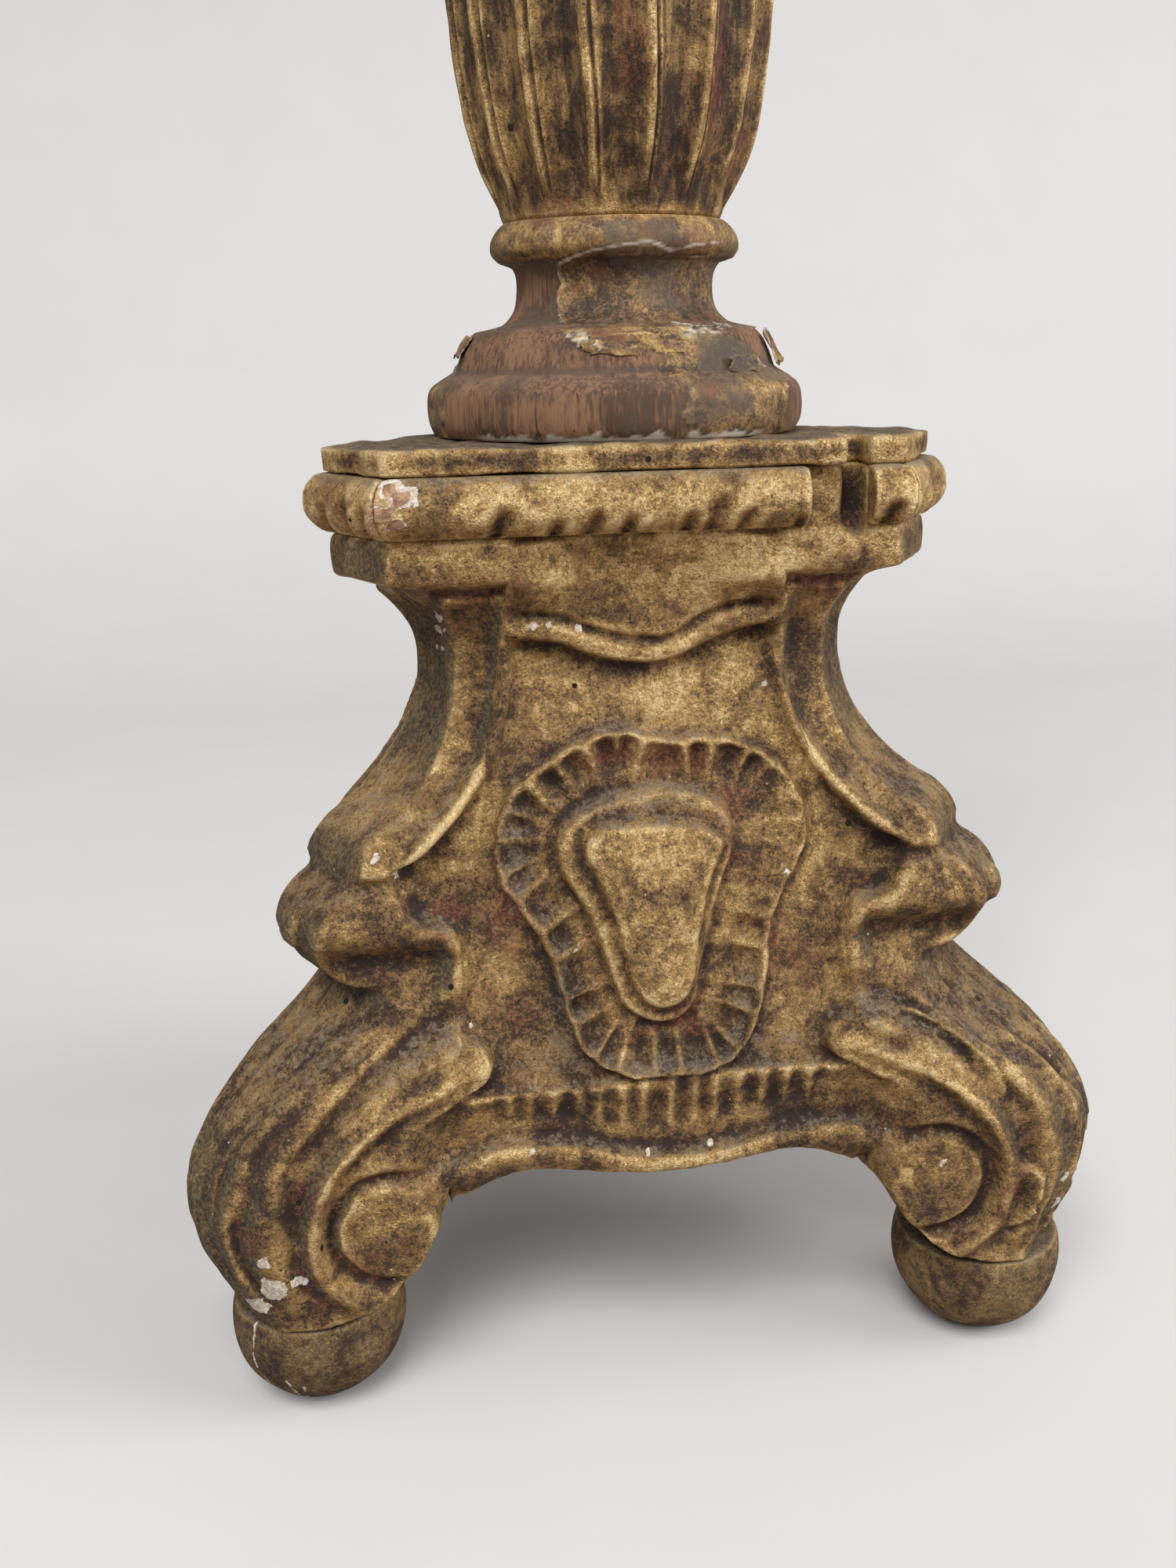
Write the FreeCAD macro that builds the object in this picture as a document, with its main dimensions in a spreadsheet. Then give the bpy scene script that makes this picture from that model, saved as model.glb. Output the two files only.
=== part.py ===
"""Carved and gilded pricket candlestick on a three-sided scroll base.

Frame: +Z up, origin on the stem's axis at table level, the front side facing -Y. Millimetres.
Each corner piece is drawn with X pointing out along its corner, each side piece with X pointing
out through its side, and each is then turned into place about the stem's axis.
"""
import FreeCAD, Part
import Sketcher
import math
import os
import re

Vector = FreeCAD.Vector
Placement = FreeCAD.Placement
Rotation = FreeCAD.Rotation

CORNERS = {"front_left": 210, "front_right": 330, "back": 90}
SIDES = {"front": 270, "left": 150, "right": 30}

# A level of the corner scroll has three sizes: rise (height above the level under it), reach (axis to
# canted corner face) and half (half the width of that canted face). The turned pieces have a rise and
# a radius at each level. A drop is measured down from a level.
SIZES = {
    # Fits
    "glue_line": 0.15, "bore_clearance": 0.2,
    # Ball feet
    "ball_radius": 22.2, "ball_flat": 5.9, "ball_setback": 17.5, "ball_seat_rise": 7.1,
    "ball_tenon_radius": 7, "ball_tenon_length": 20,
    # Corner scroll, from the heel up to the cornice rebate
    "heel_reach": 119.5,
    "foot_rise": 33.5, "foot_reach": 129.3,
    "ankle_rise": 32.5, "ankle_reach": 104, "ankle_half": 14,
    "instep_rise": 8, "instep_reach": 92, "instep_half": 13.5,
    "neck_rise": 8, "neck_reach": 86, "neck_half": 13,
    "knee_rise": 15, "knee_reach": 99.5, "knee_half": 11,
    "notch_rise": 12, "notch_reach": 88, "notch_half": 12,
    "lip_rise": 1.5, "lip_reach": 90, "lip_half": 13.4,
    "bow_rise": 6.5, "bow_reach": 87, "bow_half": 13.2,
    "shoulder_rise": 5, "shoulder_reach": 80, "shoulder_half": 12.5,
    "sweep_rise": 16.5, "sweep_reach": 63, "sweep_half": 9.5,
    "waist_rise": 20, "waist_reach": 58, "waist_half": 8.5,
    "cove_rise": 12.5, "cove_reach": 62, "cove_half": 9.5,
    "fascia_rise": 7, "fascia_reach": 77.5, "fascia_half": 13.3,
    "rebate_rise": 10.5, "rebate_reach": 74, "rebate_half": 12.3,
    "underside_rise": 14,
    "calf_face": 69.5, "calf_drop": 12.5, "volute_face": 72.5, "volute_face_drop": 14,
    "scroll_root": 20,
    # Top board
    "deck_thickness": 6, "deck_reach": 77.5, "deck_half": 14,
    "slot_start": 46.5, "slot_width": 5.5, "slot_depth": 9,
    # Inner edge of the carved scroll, where the flat field begins, measured along the sloping field
    "edge_root_along": 20, "edge_top_along": 31, "edge_top_level": 75,
    "edge_sweep_along": 43, "edge_sweep_level": 42, "edge_lip_along": 65, "edge_lip_level": 14.4,
    "edge_knee_along": 57, "edge_knee_level": 6, "edge_leaf_along": 48.5, "edge_leaf_level": -3,
    "edge_foot_along": 46, "edge_foot_level": -17.5,
    # Joint between a corner scroll and a side panel
    "joint_top_half": 30, "joint_foot_half": 54, "joint_foot_rise": 9,
    # Volute of the foot
    "volute_along": 68.2, "volute_rise": 25.7, "eye_radius": 11, "eye_sink": 1.2,
    "curl_radius": 16, "curl_sink": 4, "curl_inner": 12.2, "curl_under": 15, "curl_under_angle": 76,
    "curl_run": 19,
    # Channels between the three reeds of the foot
    "reed_offset": 3.6, "reed_gap": 2, "reed_depth": 2.2,
    # Side panel, from the springing of its arch up to the frieze
    "springing_rise": 22.5,
    "apron_rise": 18, "apron_face": 68, "apron_foot_face": 66.5,
    "hollow_rise": 7, "hollow_face": 62.5, "bead_rise": 9, "bead_face": 64.5,
    "field_foot_rise": 2, "field_foot_face": 62,
    "field_top_rise": 3, "field_top_face": 37.5, "frieze_rise": 14, "frieze_face": 41,
    "back_face": 26, "back_bend_drop": 51, "back_foot_face": 44,
    # Arch under the panel
    "haunch_along": 45, "haunch_rise": 9, "peak_along": 31, "peak_rise": 4.3, "dip_drop": 3.1,
    # Hanging valance below the cornice
    "valance_half": 30, "valance_end_drop": 22.5, "valance_crest_along": 24, "valance_crest_drop": 19,
    "valance_turn_along": 17, "valance_turn_drop": 22, "valance_dip_drop": 30.5,
    "valance_root_face": 35, "valance_face": 43,
    # Pear-shaped cartouche, measured along the sloping field from its centre
    "cartouche_rise": 40, "cartouche_relief": 3.5, "cartouche_root": 2, "cartouche_border": 11,
    "lobe_half": 38.5, "lobe_level": 12, "crown_level": 43,
    "flank_half": 29.5, "flank_level": -4,
    "tail_half": 23, "tail_level": -20, "tail_end": -43,
    "boss_gap": 3.5, "boss_relief": 5, "plateau_inset": 8, "plateau_relief": 7.5,
    "gouge_radius": 2.7, "gouge_depth": 1.6, "crown_gouges": 13, "crown_gouge_span": 164,
    "tail_gouges": 6, "tail_gouge_span": 150,
    "flank_gouges": 3, "flank_gouge_start": 0.3, "flank_gouge_step": 0.25,
    # Upright gouges of the apron band
    "flute_radius": 2.1, "flute_pitch": 5.2, "flute_count": 11, "flute_length": 13,
    # Planted cornice moulding
    "cornice_foot_out": 3.5, "cornice_roll_out": 8, "cornice_roll_rise": 7, "cornice_top_out": 4.5,
    "front_cornice_end": 37,
    # Block inside the base that takes the stem
    "block_reach": 34, "block_height": 45,
    # Stem socle
    "tenon_radius": 11, "tenon_length": 44, "torus_foot_radius": 46,
    "torus_rise": 7.5, "torus_radius": 47.3, "torus_top_rise": 6.5, "torus_top_radius": 43,
    "shelf_rise": 1.5, "shelf_radius": 40.5, "ogee_rise": 4, "ogee_radius": 38.8,
    "ogee_top_rise": 5.5, "ogee_top_radius": 35, "throat_foot_rise": 1.5, "throat_foot_radius": 27.5,
    "throat_rise": 7.5, "throat_radius": 24.2, "throat_top_rise": 6.5, "throat_top_radius": 25.5,
    "ring_foot_rise": 1, "ring_foot_radius": 28.2, "ring_rise": 4, "ring_radius": 30,
    "socle_top_rise": 4.5, "socle_top_radius": 27,
    # Fluted vase
    "peg_radius": 9, "peg_length": 22, "vase_foot_radius": 26.8,
    "vase_bulge_rise": 21, "vase_bulge_radius": 35.3, "vase_wide_rise": 37, "vase_wide_radius": 39.5,
    "vase_shoulder_rise": 40, "vase_shoulder_radius": 36.2, "vase_top_rise": 43, "vase_top_radius": 24,
    "vase_flutes": 16, "vase_flute_radius": 14, "vase_flute_depth": 1.6,
    # Middle knop
    "knop_foot_radius": 26, "knop_foot_rise": 3, "knop_radius": 31, "knop_rise": 11,
    "knop_neck_radius": 19, "knop_neck_rise": 12, "knop_top_radius": 22, "knop_top_rise": 8,
    # Upper baluster
    "baluster_foot_radius": 20, "baluster_belly_radius": 26, "baluster_belly_rise": 38,
    "baluster_slim_radius": 15, "baluster_slim_rise": 54, "baluster_ring_radius": 20,
    "baluster_ring_rise": 10, "baluster_top_radius": 17, "baluster_top_rise": 8,
    # Turned dish under the candle
    "dish_foot_radius": 18, "dish_neck_radius": 21, "dish_neck_rise": 14,
    "dish_edge_radius": 62, "dish_edge_rise": 19, "dish_rim_radius": 64, "dish_rim_rise": 7,
    "dish_lip": 4, "dish_floor_inset": 10, "dish_depth": 7,
    # Loose sheet-iron pan and spike
    "pan_clearance": 0.3, "pan_wall": 1, "pan_floor_radius": 44, "pan_flare": 9, "pan_rim_rise": 10,
    "spike_radius": 4.5, "spike_clearance": 0.5, "spike_shank": 30, "spike_straight": 4,
    "spike_length": 88, "spike_tip_radius": 0.6,
    # Room past a solid when something is cut right through it
    "cut_margin": 60,
}

doc = FreeCAD.newDocument("pricket_candlestick")
sheet = doc.addObject("Spreadsheet::Sheet", "sizes")
for row, (name, size) in enumerate(SIZES.items(), start=1):
    sheet.set(f"A{row}", name)
    sheet.set(f"B{row}", str(size))
    sheet.setAlias(f"B{row}", name)
doc.recompute()

nodes = []


def link(formula):
    """Make a formula in size names read those sizes from the sheet."""
    return re.sub(r"[a-z]+(?:_[a-z]+)+", lambda word: "sizes." + word.group(), str(formula))


def value(formula):
    """Work out a formula in size names."""
    return float(sheet.evalExpression(link(formula)))


def face(level):
    """Distance from the axis to the side face, where it meets the canted corner at a level."""
    return f"({level}_reach / 2 + {level}_half * cos(30 deg))"


def new_body(label, angle=0, out=None):
    """Start a piece, turned about the stem's axis and set out from it."""
    body = doc.addObject("PartDesign::Body", label)
    body.Label = label
    body.Placement = Placement(Vector(0, 0, 0), Rotation(Vector(0, 0, 1), angle))
    if out is not None:
        body.setExpression("Placement.Base.x", link(f"{out} * cos({angle} deg)"))
        body.setExpression("Placement.Base.y", link(f"{out} * sin({angle} deg)"))
    nodes.append(body)
    return body


def plane(body, role):
    return next(item for item in body.Origin.OriginFeatures if item.Role == role)


def sketch_on(body, role, turn=0, shift=None):
    """Start a sketch on a plane of the piece, turned about the upright and moved along its normal."""
    sketch = body.newObject("Sketcher::SketchObject", body.Name + "_sketch")
    sketch.AttachmentSupport = [(plane(body, role), "")]
    sketch.MapMode = "FlatFace"
    sketch.AttachmentOffset = Placement(Vector(0, 0, 0), Rotation(Vector(0, 1, 0), turn))
    if shift is not None:
        sketch.setExpression("AttachmentOffset.Base.x", link(f"({shift}) * sin({turn} deg)"))
        sketch.setExpression("AttachmentOffset.Base.z", link(f"({shift}) * cos({turn} deg)"))
    return sketch


def pin_point(sketch, geometry, position, across, up):
    """Tie a point of a sketch to two formulas."""
    for axis, formula in (("DistanceX", across), ("DistanceY", up)):
        row = Sketcher.Constraint(axis, -1, 1, geometry, position, value(formula))
        index = sketch.addConstraint(row)
        sketch.setExpression(f"Constraints[{index}]", link(formula))


def trace(sketch, stops):
    """Close an outline through the stops; a stop of four formulas is reached by an arc via the last two."""
    places = [Vector(value(stop[0]), value(stop[1]), 0) for stop in stops]
    ends = []
    for index, stop in enumerate(stops):
        start = places[index - 1]
        finish = places[index]
        if len(stop) == 4:
            middle = Vector(value(stop[2]), value(stop[3]), 0)
            edge = sketch.addGeometry(Part.Arc(start, middle, finish), False)
            through = sketch.addGeometry(Part.Point(middle), True)
            pin_point(sketch, through, 1, stop[2], stop[3])
            sketch.addConstraint(Sketcher.Constraint("PointOnObject", through, 1, edge))
        else:
            edge = sketch.addGeometry(Part.LineSegment(start, finish), False)
        forward = (sketch.getPoint(edge, 1) - start).Length < (sketch.getPoint(edge, 2) - start).Length
        ends.append((edge, 1, 2) if forward else (edge, 2, 1))
    for index, stop in enumerate(stops):
        edge, _, finish = ends[index]
        following, start, _ = ends[(index + 1) % len(stops)]
        sketch.addConstraint(Sketcher.Constraint("Coincident", edge, finish, following, start))
        pin_point(sketch, edge, finish, stop[0], stop[1])
    return sketch


def circle(sketch, across, up, radius):
    """Add a circle whose centre and radius follow formulas."""
    centre = Vector(value(across), value(up), 0)
    ring = sketch.addGeometry(Part.Circle(centre, Vector(0, 0, 1), value(radius)))
    pin_point(sketch, ring, 3, across, up)
    index = sketch.addConstraint(Sketcher.Constraint("Radius", ring, value(radius)))
    sketch.setExpression(f"Constraints[{index}]", link(radius))
    return sketch


def feature(body, kind, sketch):
    made = body.newObject("PartDesign::" + kind, f"{body.Name}_{kind.lower()}")
    made.Profile = sketch
    return made


def pad(body, sketch, length, back=None, symmetric=False):
    """Raise a sketch along its normal, to both sides alike or by a second length behind it."""
    made = feature(body, "Pad", sketch)
    made.SideType = "Symmetric" if symmetric else "One side"
    made.setExpression("Length", link(length))
    if back is not None:
        made.SideType = "Two sides"
        made.setExpression("Length2", link(back))
    doc.recompute()
    return made


def pocket(body, sketch, length=None, symmetric=False, along_normal=False):
    """Cut a sketch into the piece, right through where no length is given, and see that it cuts."""
    before = body.Shape.Volume
    made = feature(body, "Pocket", sketch)
    made.SideType = "Symmetric" if symmetric or length is None else "One side"
    made.Reversed = along_normal
    if length is None:
        made.Type = "ThroughAll"
    else:
        made.setExpression("Length", link(length))
    doc.recompute()
    if body.Shape.Volume >= before:
        raise RuntimeError(f"{made.Name} cuts nothing")
    return made


def turned(body, stops):
    """Turn an outline of radius and height about the piece's own upright axis."""
    sketch = trace(sketch_on(body, "XZ_Plane"), stops)
    made = feature(body, "Revolution", sketch)
    made.ReferenceAxis = (sketch, ["V_Axis"])
    made.Angle = 360
    doc.recompute()
    return made


def mirrored(body, features):
    """Repeat cuts on the other side of the piece's middle plane."""
    made = body.newObject("PartDesign::Mirrored", body.Name + "_mirrored")
    made.Originals = features
    made.MirrorPlane = (plane(body, "XZ_Plane"), [""])
    body.Tip = made
    doc.recompute()
    return made


def polar(body, features, axis, count, span):
    """Repeat features round an axis over an angle."""
    made = body.newObject("PartDesign::PolarPattern", body.Name + "_polar")
    made.Originals = features
    made.Axis = axis
    made.setExpression("Angle", link(span))
    made.setExpression("Occurrences", link(count))
    body.Tip = made
    doc.recompute()
    return made


def linear(body, features, axis, count, run):
    """Repeat features in a row."""
    made = body.newObject("PartDesign::LinearPattern", body.Name + "_linear")
    made.Originals = features
    made.Direction = axis
    made.setExpression("Length", link(run))
    made.setExpression("Occurrences", link(count))
    body.Tip = made
    doc.recompute()
    return made


def stack(ground, names):
    """Formulas for the heights of levels that rise one above the other from a ground height."""
    heights = {}
    for name in names:
        ground = f"{ground} + {name}_rise"
        heights[name] = ground
    return heights


BALL_CENTRE = "sqrt(ball_radius ^ 2 - ball_flat ^ 2)"
BALL_REACH = "(heel_reach - ball_setback)"
SEAT = f"({BALL_CENTRE} + ball_seat_rise)"

SCROLL = stack(SEAT, ("foot", "ankle", "instep", "neck", "knee", "notch", "lip", "bow", "shoulder",
                      "sweep", "waist", "cove", "fascia", "rebate", "underside"))
CALF = SCROLL["ankle"] + " - calf_drop"
VOLUTE_TOP = CALF + " - volute_face_drop"
VOLUTE_CENTRE = SEAT + " + volute_rise"
UNDERSIDE = SCROLL["underside"]
DECK = UNDERSIDE + " + deck_thickness"

PANEL = stack(SEAT, ("springing", "apron", "hollow", "bead", "field_foot"))
PANEL |= stack(SCROLL["waist"], ("field_top", "frieze"))
ARCH = stack(PANEL["springing"], ("haunch", "peak"))
JOINT_FOOT = PANEL["springing"] + " + joint_foot_rise"
CARTOUCHE = PANEL["field_foot"] + " + cartouche_rise"

SOCLE = stack(DECK, ("torus", "torus_top", "shelf", "ogee", "ogee_top", "throat_foot", "throat",
                     "throat_top", "ring_foot", "ring", "socle_top"))
VASE = stack(SOCLE["socle_top"], ("vase_bulge", "vase_wide", "vase_shoulder", "vase_top"))
KNOP = stack(VASE["vase_top"], ("knop_foot", "knop", "knop_neck", "knop_top"))
BALUSTER = stack(KNOP["knop_top"], ("baluster_belly", "baluster_slim", "baluster_ring", "baluster_top"))
DISH = stack(BALUSTER["baluster_top"], ("dish_neck", "dish_edge", "dish_rim"))
DISH_FLOOR = DISH["dish_rim"] + " - dish_depth"


def scroll_levels(distance):
    """Outline of the scroll from its top to its ankle, seen along a corner or along a side."""
    def at(level, height=None):
        return (distance(level), SCROLL[height or level])

    return [
        at("rebate", "underside"),
        at("rebate"),
        at("fascia", "rebate"),
        at("fascia"),
        at("waist") + at("cove"),
        at("shoulder") + at("sweep"),
        at("lip") + at("bow"),
        at("notch"),
        at("neck") + at("knee"),
        at("ankle") + at("instep"),
    ]


FIELD_HEIGHT = f"({PANEL['field_top']} - ({PANEL['field_foot']}))"
FIELD_SLOPE = f"atan((field_foot_face - field_top_face) / {FIELD_HEIGHT})"


def field_sketch(body, turn=0, level="0", lift="0"):
    """Start a sketch in the sloping field of a side, at a level from the cartouche's centre."""
    slope = value(FIELD_SLOPE)
    height = f"{CARTOUCHE} + ({level}) * cos({slope} deg) + ({lift}) * sin({slope} deg)"
    out = f"field_foot_face - cartouche_rise * tan({slope} deg)"
    out = f"{out} - ({level}) * sin({slope} deg) + ({lift}) * cos({slope} deg)"
    swing = Rotation(Vector(0, 1, 0), turn)
    sketch = sketch_on(body, "YZ_Plane")
    spot = swing.multVec(Vector(0, value(height), value(out)))
    sketch.AttachmentOffset = Placement(spot, swing.multiply(Rotation(Vector(1, 0, 0), -slope)))
    return sketch


def corner_scroll(place, angle):
    """Carved corner of the base: fascia, swept waist, lip, knee and reeded scroll foot in one timber."""
    body = new_body(f"corner_scroll_{place}", angle)
    under = f"{SEAT} - cut_margin"

    outline = [("scroll_root", UNDERSIDE)] + scroll_levels(lambda level: f"{level}_reach") + [
        ("heel_reach", SEAT, "foot_reach", SCROLL["foot"]),
        ("heel_reach", under),
        ("scroll_root", under),
    ]
    pad(body, trace(sketch_on(body, "XZ_Plane"), outline), "2 * (volute_face + cut_margin)", symmetric=True)

    # Bore for the ball foot's tenon
    bore = sketch_on(body, "XY_Plane", shift=f"{SEAT} + ball_tenon_length + bore_clearance")
    circle(bore, BALL_REACH, "0", "ball_tenon_radius + bore_clearance")
    pocket(body, bore, "ball_tenon_length + 2 * cut_margin")

    # Side faces, to which the canted corner is worked back
    beyond = "volute_face + 2 * cut_margin"
    side = [(beyond, UNDERSIDE + " + cut_margin"), (face("rebate"), UNDERSIDE + " + cut_margin")]
    side += scroll_levels(face) + [
        ("volute_face", VOLUTE_TOP, "calf_face", CALF),
        ("volute_face", under),
        (beyond, under),
    ]
    side_cut = pocket(body, trace(sketch_on(body, "XZ_Plane", turn=60), side))

    # Edge that meets the side panel, the end of the arch and the round underside of the volute
    inward = "-2 * cut_margin"
    over = DECK + " + cut_margin"
    below = f"{SEAT} - 2 * cut_margin"
    outward = "foot_reach + 2 * cut_margin"
    edge = [
        (inward, over),
        ("joint_top_half", over),
        ("joint_top_half", SCROLL["fascia"]),
        ("joint_foot_half", JOINT_FOOT),
        ("joint_foot_half", PANEL["springing"]),
        ("volute_along - curl_inner", VOLUTE_CENTRE),
        ("volute_along + curl_run", SEAT,
         "volute_along - curl_under * cos(curl_under_angle * 1 deg)",
         f"{VOLUTE_CENTRE} - curl_under * sin(curl_under_angle * 1 deg)"),
        (outward, SEAT),
        (outward, below),
        (inward, below),
    ]
    edge_cut = pocket(body, trace(sketch_on(body, "XZ_Plane", turn=-30), edge))

    # Flat field worked into the scroll up to its carved inner edge
    field = trace(field_sketch(body, turn=60), [
        ("-edge_root_along", "edge_top_level"),
        ("-edge_top_along", "edge_top_level"),
        ("-edge_lip_along", "edge_lip_level", "-edge_sweep_along", "edge_sweep_level"),
        ("-edge_knee_along", "edge_knee_level"),
        ("-edge_leaf_along", "edge_leaf_level"),
        ("-edge_foot_along", "edge_foot_level"),
        ("-edge_root_along", "edge_foot_level"),
    ])
    field_cut = pocket(body, field, "cut_margin", along_normal=True)

    # Volute: a sunk channel round a slightly sunk eye
    channel = sketch_on(body, "XZ_Plane", turn=-30, shift="-volute_face")
    circle(channel, "volute_along", VOLUTE_CENTRE, "curl_radius")
    circle(channel, "volute_along", VOLUTE_CENTRE, "eye_radius")
    channel_cut = pocket(body, channel, "curl_sink", along_normal=True)
    eye = sketch_on(body, "XZ_Plane", turn=-30, shift="-volute_face")
    circle(eye, "volute_along", VOLUTE_CENTRE, "eye_radius")
    eye_cut = pocket(body, eye, "eye_sink", along_normal=True)

    # Channels that leave three reeds down the foot
    reed = [
        ("ankle_reach", SCROLL["ankle"]),
        ("heel_reach", SEAT, "foot_reach", SCROLL["foot"]),
        ("heel_reach - reed_depth", SEAT),
        ("ankle_reach - reed_depth", SCROLL["ankle"] + " - reed_depth",
         "foot_reach - reed_depth", SCROLL["foot"]),
    ]
    reed_cut = pocket(body, trace(sketch_on(body, "XZ_Plane", shift="reed_offset"), reed), "reed_gap", True)
    mirrored(body, [side_cut, edge_cut, field_cut, channel_cut, eye_cut, reed_cut])

    # Open slot beside the front right corner block
    if place == "front_right":
        slot = sketch_on(body, "XZ_Plane", turn=30, shift=f"{face('fascia')} - slot_depth")
        trace(slot, [
            ("slot_start", SCROLL["fascia"]),
            ("slot_start + slot_width", SCROLL["fascia"]),
            ("slot_start + slot_width", DECK),
            ("slot_start", DECK),
        ])
        body.Tip = pocket(body, slot, "slot_depth", along_normal=True)
    return body


def pear(sketch, inset):
    """Pear outline of the cartouche, drawn in from its edge by an inset."""
    lobe = f"lobe_half - ({inset})"
    tail = f"tail_half - ({inset})"
    flank = f"flank_half - ({inset})"
    return trace(sketch, [
        (lobe, "lobe_level", "0", f"crown_level - ({inset})"),
        (tail, "tail_level", flank, "flank_level"),
        (f"-({tail})", "tail_level", "0", f"tail_end + ({inset})"),
        (f"-({lobe})", "lobe_level", f"-({flank})", "flank_level"),
    ])


def side_panel(place, angle):
    """Board between two corner scrolls, with valance, cartouche and gouged apron."""
    body = new_body(f"panel_{place}", angle)
    profile = [
        ("back_face", UNDERSIDE),
        (face("rebate"), UNDERSIDE),
        (face("rebate"), SCROLL["rebate"]),
        ("field_top_face", PANEL["field_top"], "frieze_face", PANEL["frieze"]),
        ("field_foot_face", PANEL["field_foot"]),
        ("bead_face", PANEL["bead"]),
        ("apron_face", PANEL["apron"], "hollow_face", PANEL["hollow"]),
        ("apron_foot_face", PANEL["springing"]),
        ("back_foot_face", PANEL["springing"]),
        ("back_face", UNDERSIDE + " - back_bend_drop"),
    ]
    pad(body, trace(sketch_on(body, "XZ_Plane"), profile), "2 * joint_foot_half", symmetric=True)

    def hung(drop):
        return SCROLL["rebate"] + f" - valance_{drop}_drop"

    valance = [
        ("-valance_half", SCROLL["rebate"]),
        ("-valance_half", hung("end")),
        ("-valance_turn_along", hung("turn"), "-valance_crest_along", hung("crest")),
        ("valance_turn_along", hung("turn"), "0", hung("dip")),
        ("valance_half", hung("end"), "valance_crest_along", hung("crest")),
        ("valance_half", SCROLL["rebate"]),
    ]
    valance_sketch = trace(sketch_on(body, "YZ_Plane", shift="valance_root_face"), valance)
    pad(body, valance_sketch, "valance_face - valance_root_face")

    # Edges glued to the corner scrolls
    top = DECK + " + cut_margin"
    low = PANEL["springing"] + " - cut_margin"
    far = "joint_foot_half + cut_margin"
    edge = trace(sketch_on(body, "YZ_Plane"), [
        ("joint_top_half - glue_line", top),
        ("joint_top_half - glue_line", SCROLL["fascia"]),
        ("joint_foot_half - glue_line", JOINT_FOOT),
        ("joint_foot_half - glue_line", low),
        (far, low),
        (far, top),
    ])
    mirrored(body, [pocket(body, edge)])

    arch = trace(sketch_on(body, "YZ_Plane"), [
        ("-joint_foot_half", low),
        ("-joint_foot_half", PANEL["springing"]),
        ("-peak_along", ARCH["peak"], "-haunch_along", ARCH["haunch"]),
        ("peak_along", ARCH["peak"], "0", ARCH["peak"] + " - dip_drop"),
        ("joint_foot_half", PANEL["springing"], "haunch_along", ARCH["haunch"]),
        ("joint_foot_half", low),
    ])
    body.Tip = pocket(body, arch)

    carve_cartouche(body)

    flute = sketch_on(body, "XY_Plane", shift=PANEL["bead"])
    circle(flute, "bead_face", "flute_pitch * (flute_count - 1) / 2", "flute_radius")
    first = pocket(body, flute, "flute_length")
    linear(body, [first], (plane(body, "XZ_Plane"), [""]), "flute_count", "flute_pitch * (flute_count - 1)")
    return body


def carve_cartouche(body):
    """Raise the pear-shaped cartouche on the sloping field and gouge its border."""
    pad(body, pear(field_sketch(body), "0"), "cartouche_relief", back="cartouche_root")
    hollow = pear(field_sketch(body), "cartouche_border")
    pocket(body, hollow, "2 * cartouche_relief", along_normal=True)
    pad(body, pear(field_sketch(body), "cartouche_border + boss_gap"), "boss_relief", back="cartouche_root")
    plateau = pear(field_sketch(body), "cartouche_border + plateau_inset")
    pad(body, plateau, "plateau_relief", back="cartouche_root")

    crown_rise = "(crown_level - lobe_level)"
    crown_bend = f"(({crown_rise} ^ 2 + lobe_half ^ 2) / (2 * {crown_rise}))"
    gouge_row(body, f"crown_level - {crown_bend}", crown_bend, "crown_gouges", "crown_gouge_span", 90)
    tail_drop = "(tail_level - tail_end)"
    tail_bend = f"(({tail_drop} ^ 2 + tail_half ^ 2) / (2 * {tail_drop}))"
    gouge_row(body, f"tail_end + {tail_bend}", tail_bend, "tail_gouges", "tail_gouge_span", 270)

    flanks = field_sketch(body, lift="cartouche_relief")
    for hand in (-1, 1):
        for step in range(round(value("flank_gouges"))):
            share = f"(flank_gouge_start + {step} * flank_gouge_step)"
            across = f"lobe_half - cartouche_border / 2 - {share} * (lobe_half - tail_half)"
            level = f"lobe_level - {share} * (lobe_level - tail_level)"
            circle(flanks, f"{hand} * ({across})", level, "gouge_radius")
    body.Tip = pocket(body, flanks, "gouge_depth")


def gouge_row(body, level, bend, count, span, middle):
    """Cut a row of round gouges along the border's arc, spread about a middle direction."""
    row = field_sketch(body, level=level, lift="cartouche_relief")
    start = f"({middle} deg - {span} / 2 * 1 deg)"
    ring = f"({bend} - cartouche_border / 2)"
    circle(row, f"{ring} * cos({start})", f"{ring} * sin({start})", "gouge_radius")
    polar(body, [pocket(body, row, "gouge_depth")], (row, ["N_Axis"]), count, span)


def cornice_profile(reach):
    """Section of the planted roll moulding, standing on the rebate at a reach from the axis."""
    foot = SCROLL["rebate"]
    return [
        (f"{reach} + glue_line", f"{UNDERSIDE} - glue_line"),
        (f"{reach} + glue_line", f"{foot} + glue_line"),
        (f"{reach} + cornice_foot_out", f"{foot} + glue_line"),
        (f"{reach} + cornice_top_out", f"{UNDERSIDE} - glue_line",
         f"{reach} + cornice_roll_out", f"{foot} + cornice_roll_rise"),
    ]


def mitre_cut(body, reach, half):
    """Cut one end of a moulding along the mitre between a side and a canted corner."""
    out = f"({reach} + cut_margin)"
    sketch = trace(sketch_on(body, "XY_Plane"), [
        (reach, f"{half} - glue_line"),
        (out, f"{half} - glue_line + cut_margin * tan(30 deg)"),
        (out, f"{half} + 2 * cut_margin"),
        (reach, f"{half} + 2 * cut_margin"),
    ])
    return pocket(body, sketch)


def corner_cornice(place, angle):
    """Roll moulding across a canted corner, mitred at both ends."""
    body = new_body(f"corner_cornice_{place}", angle)
    section = trace(sketch_on(body, "XZ_Plane"), cornice_profile("rebate_reach"))
    pad(body, section, "2 * (rebate_half + cornice_roll_out)", symmetric=True)
    mirrored(body, [mitre_cut(body, "rebate_reach", "rebate_half")])
    return body


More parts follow.
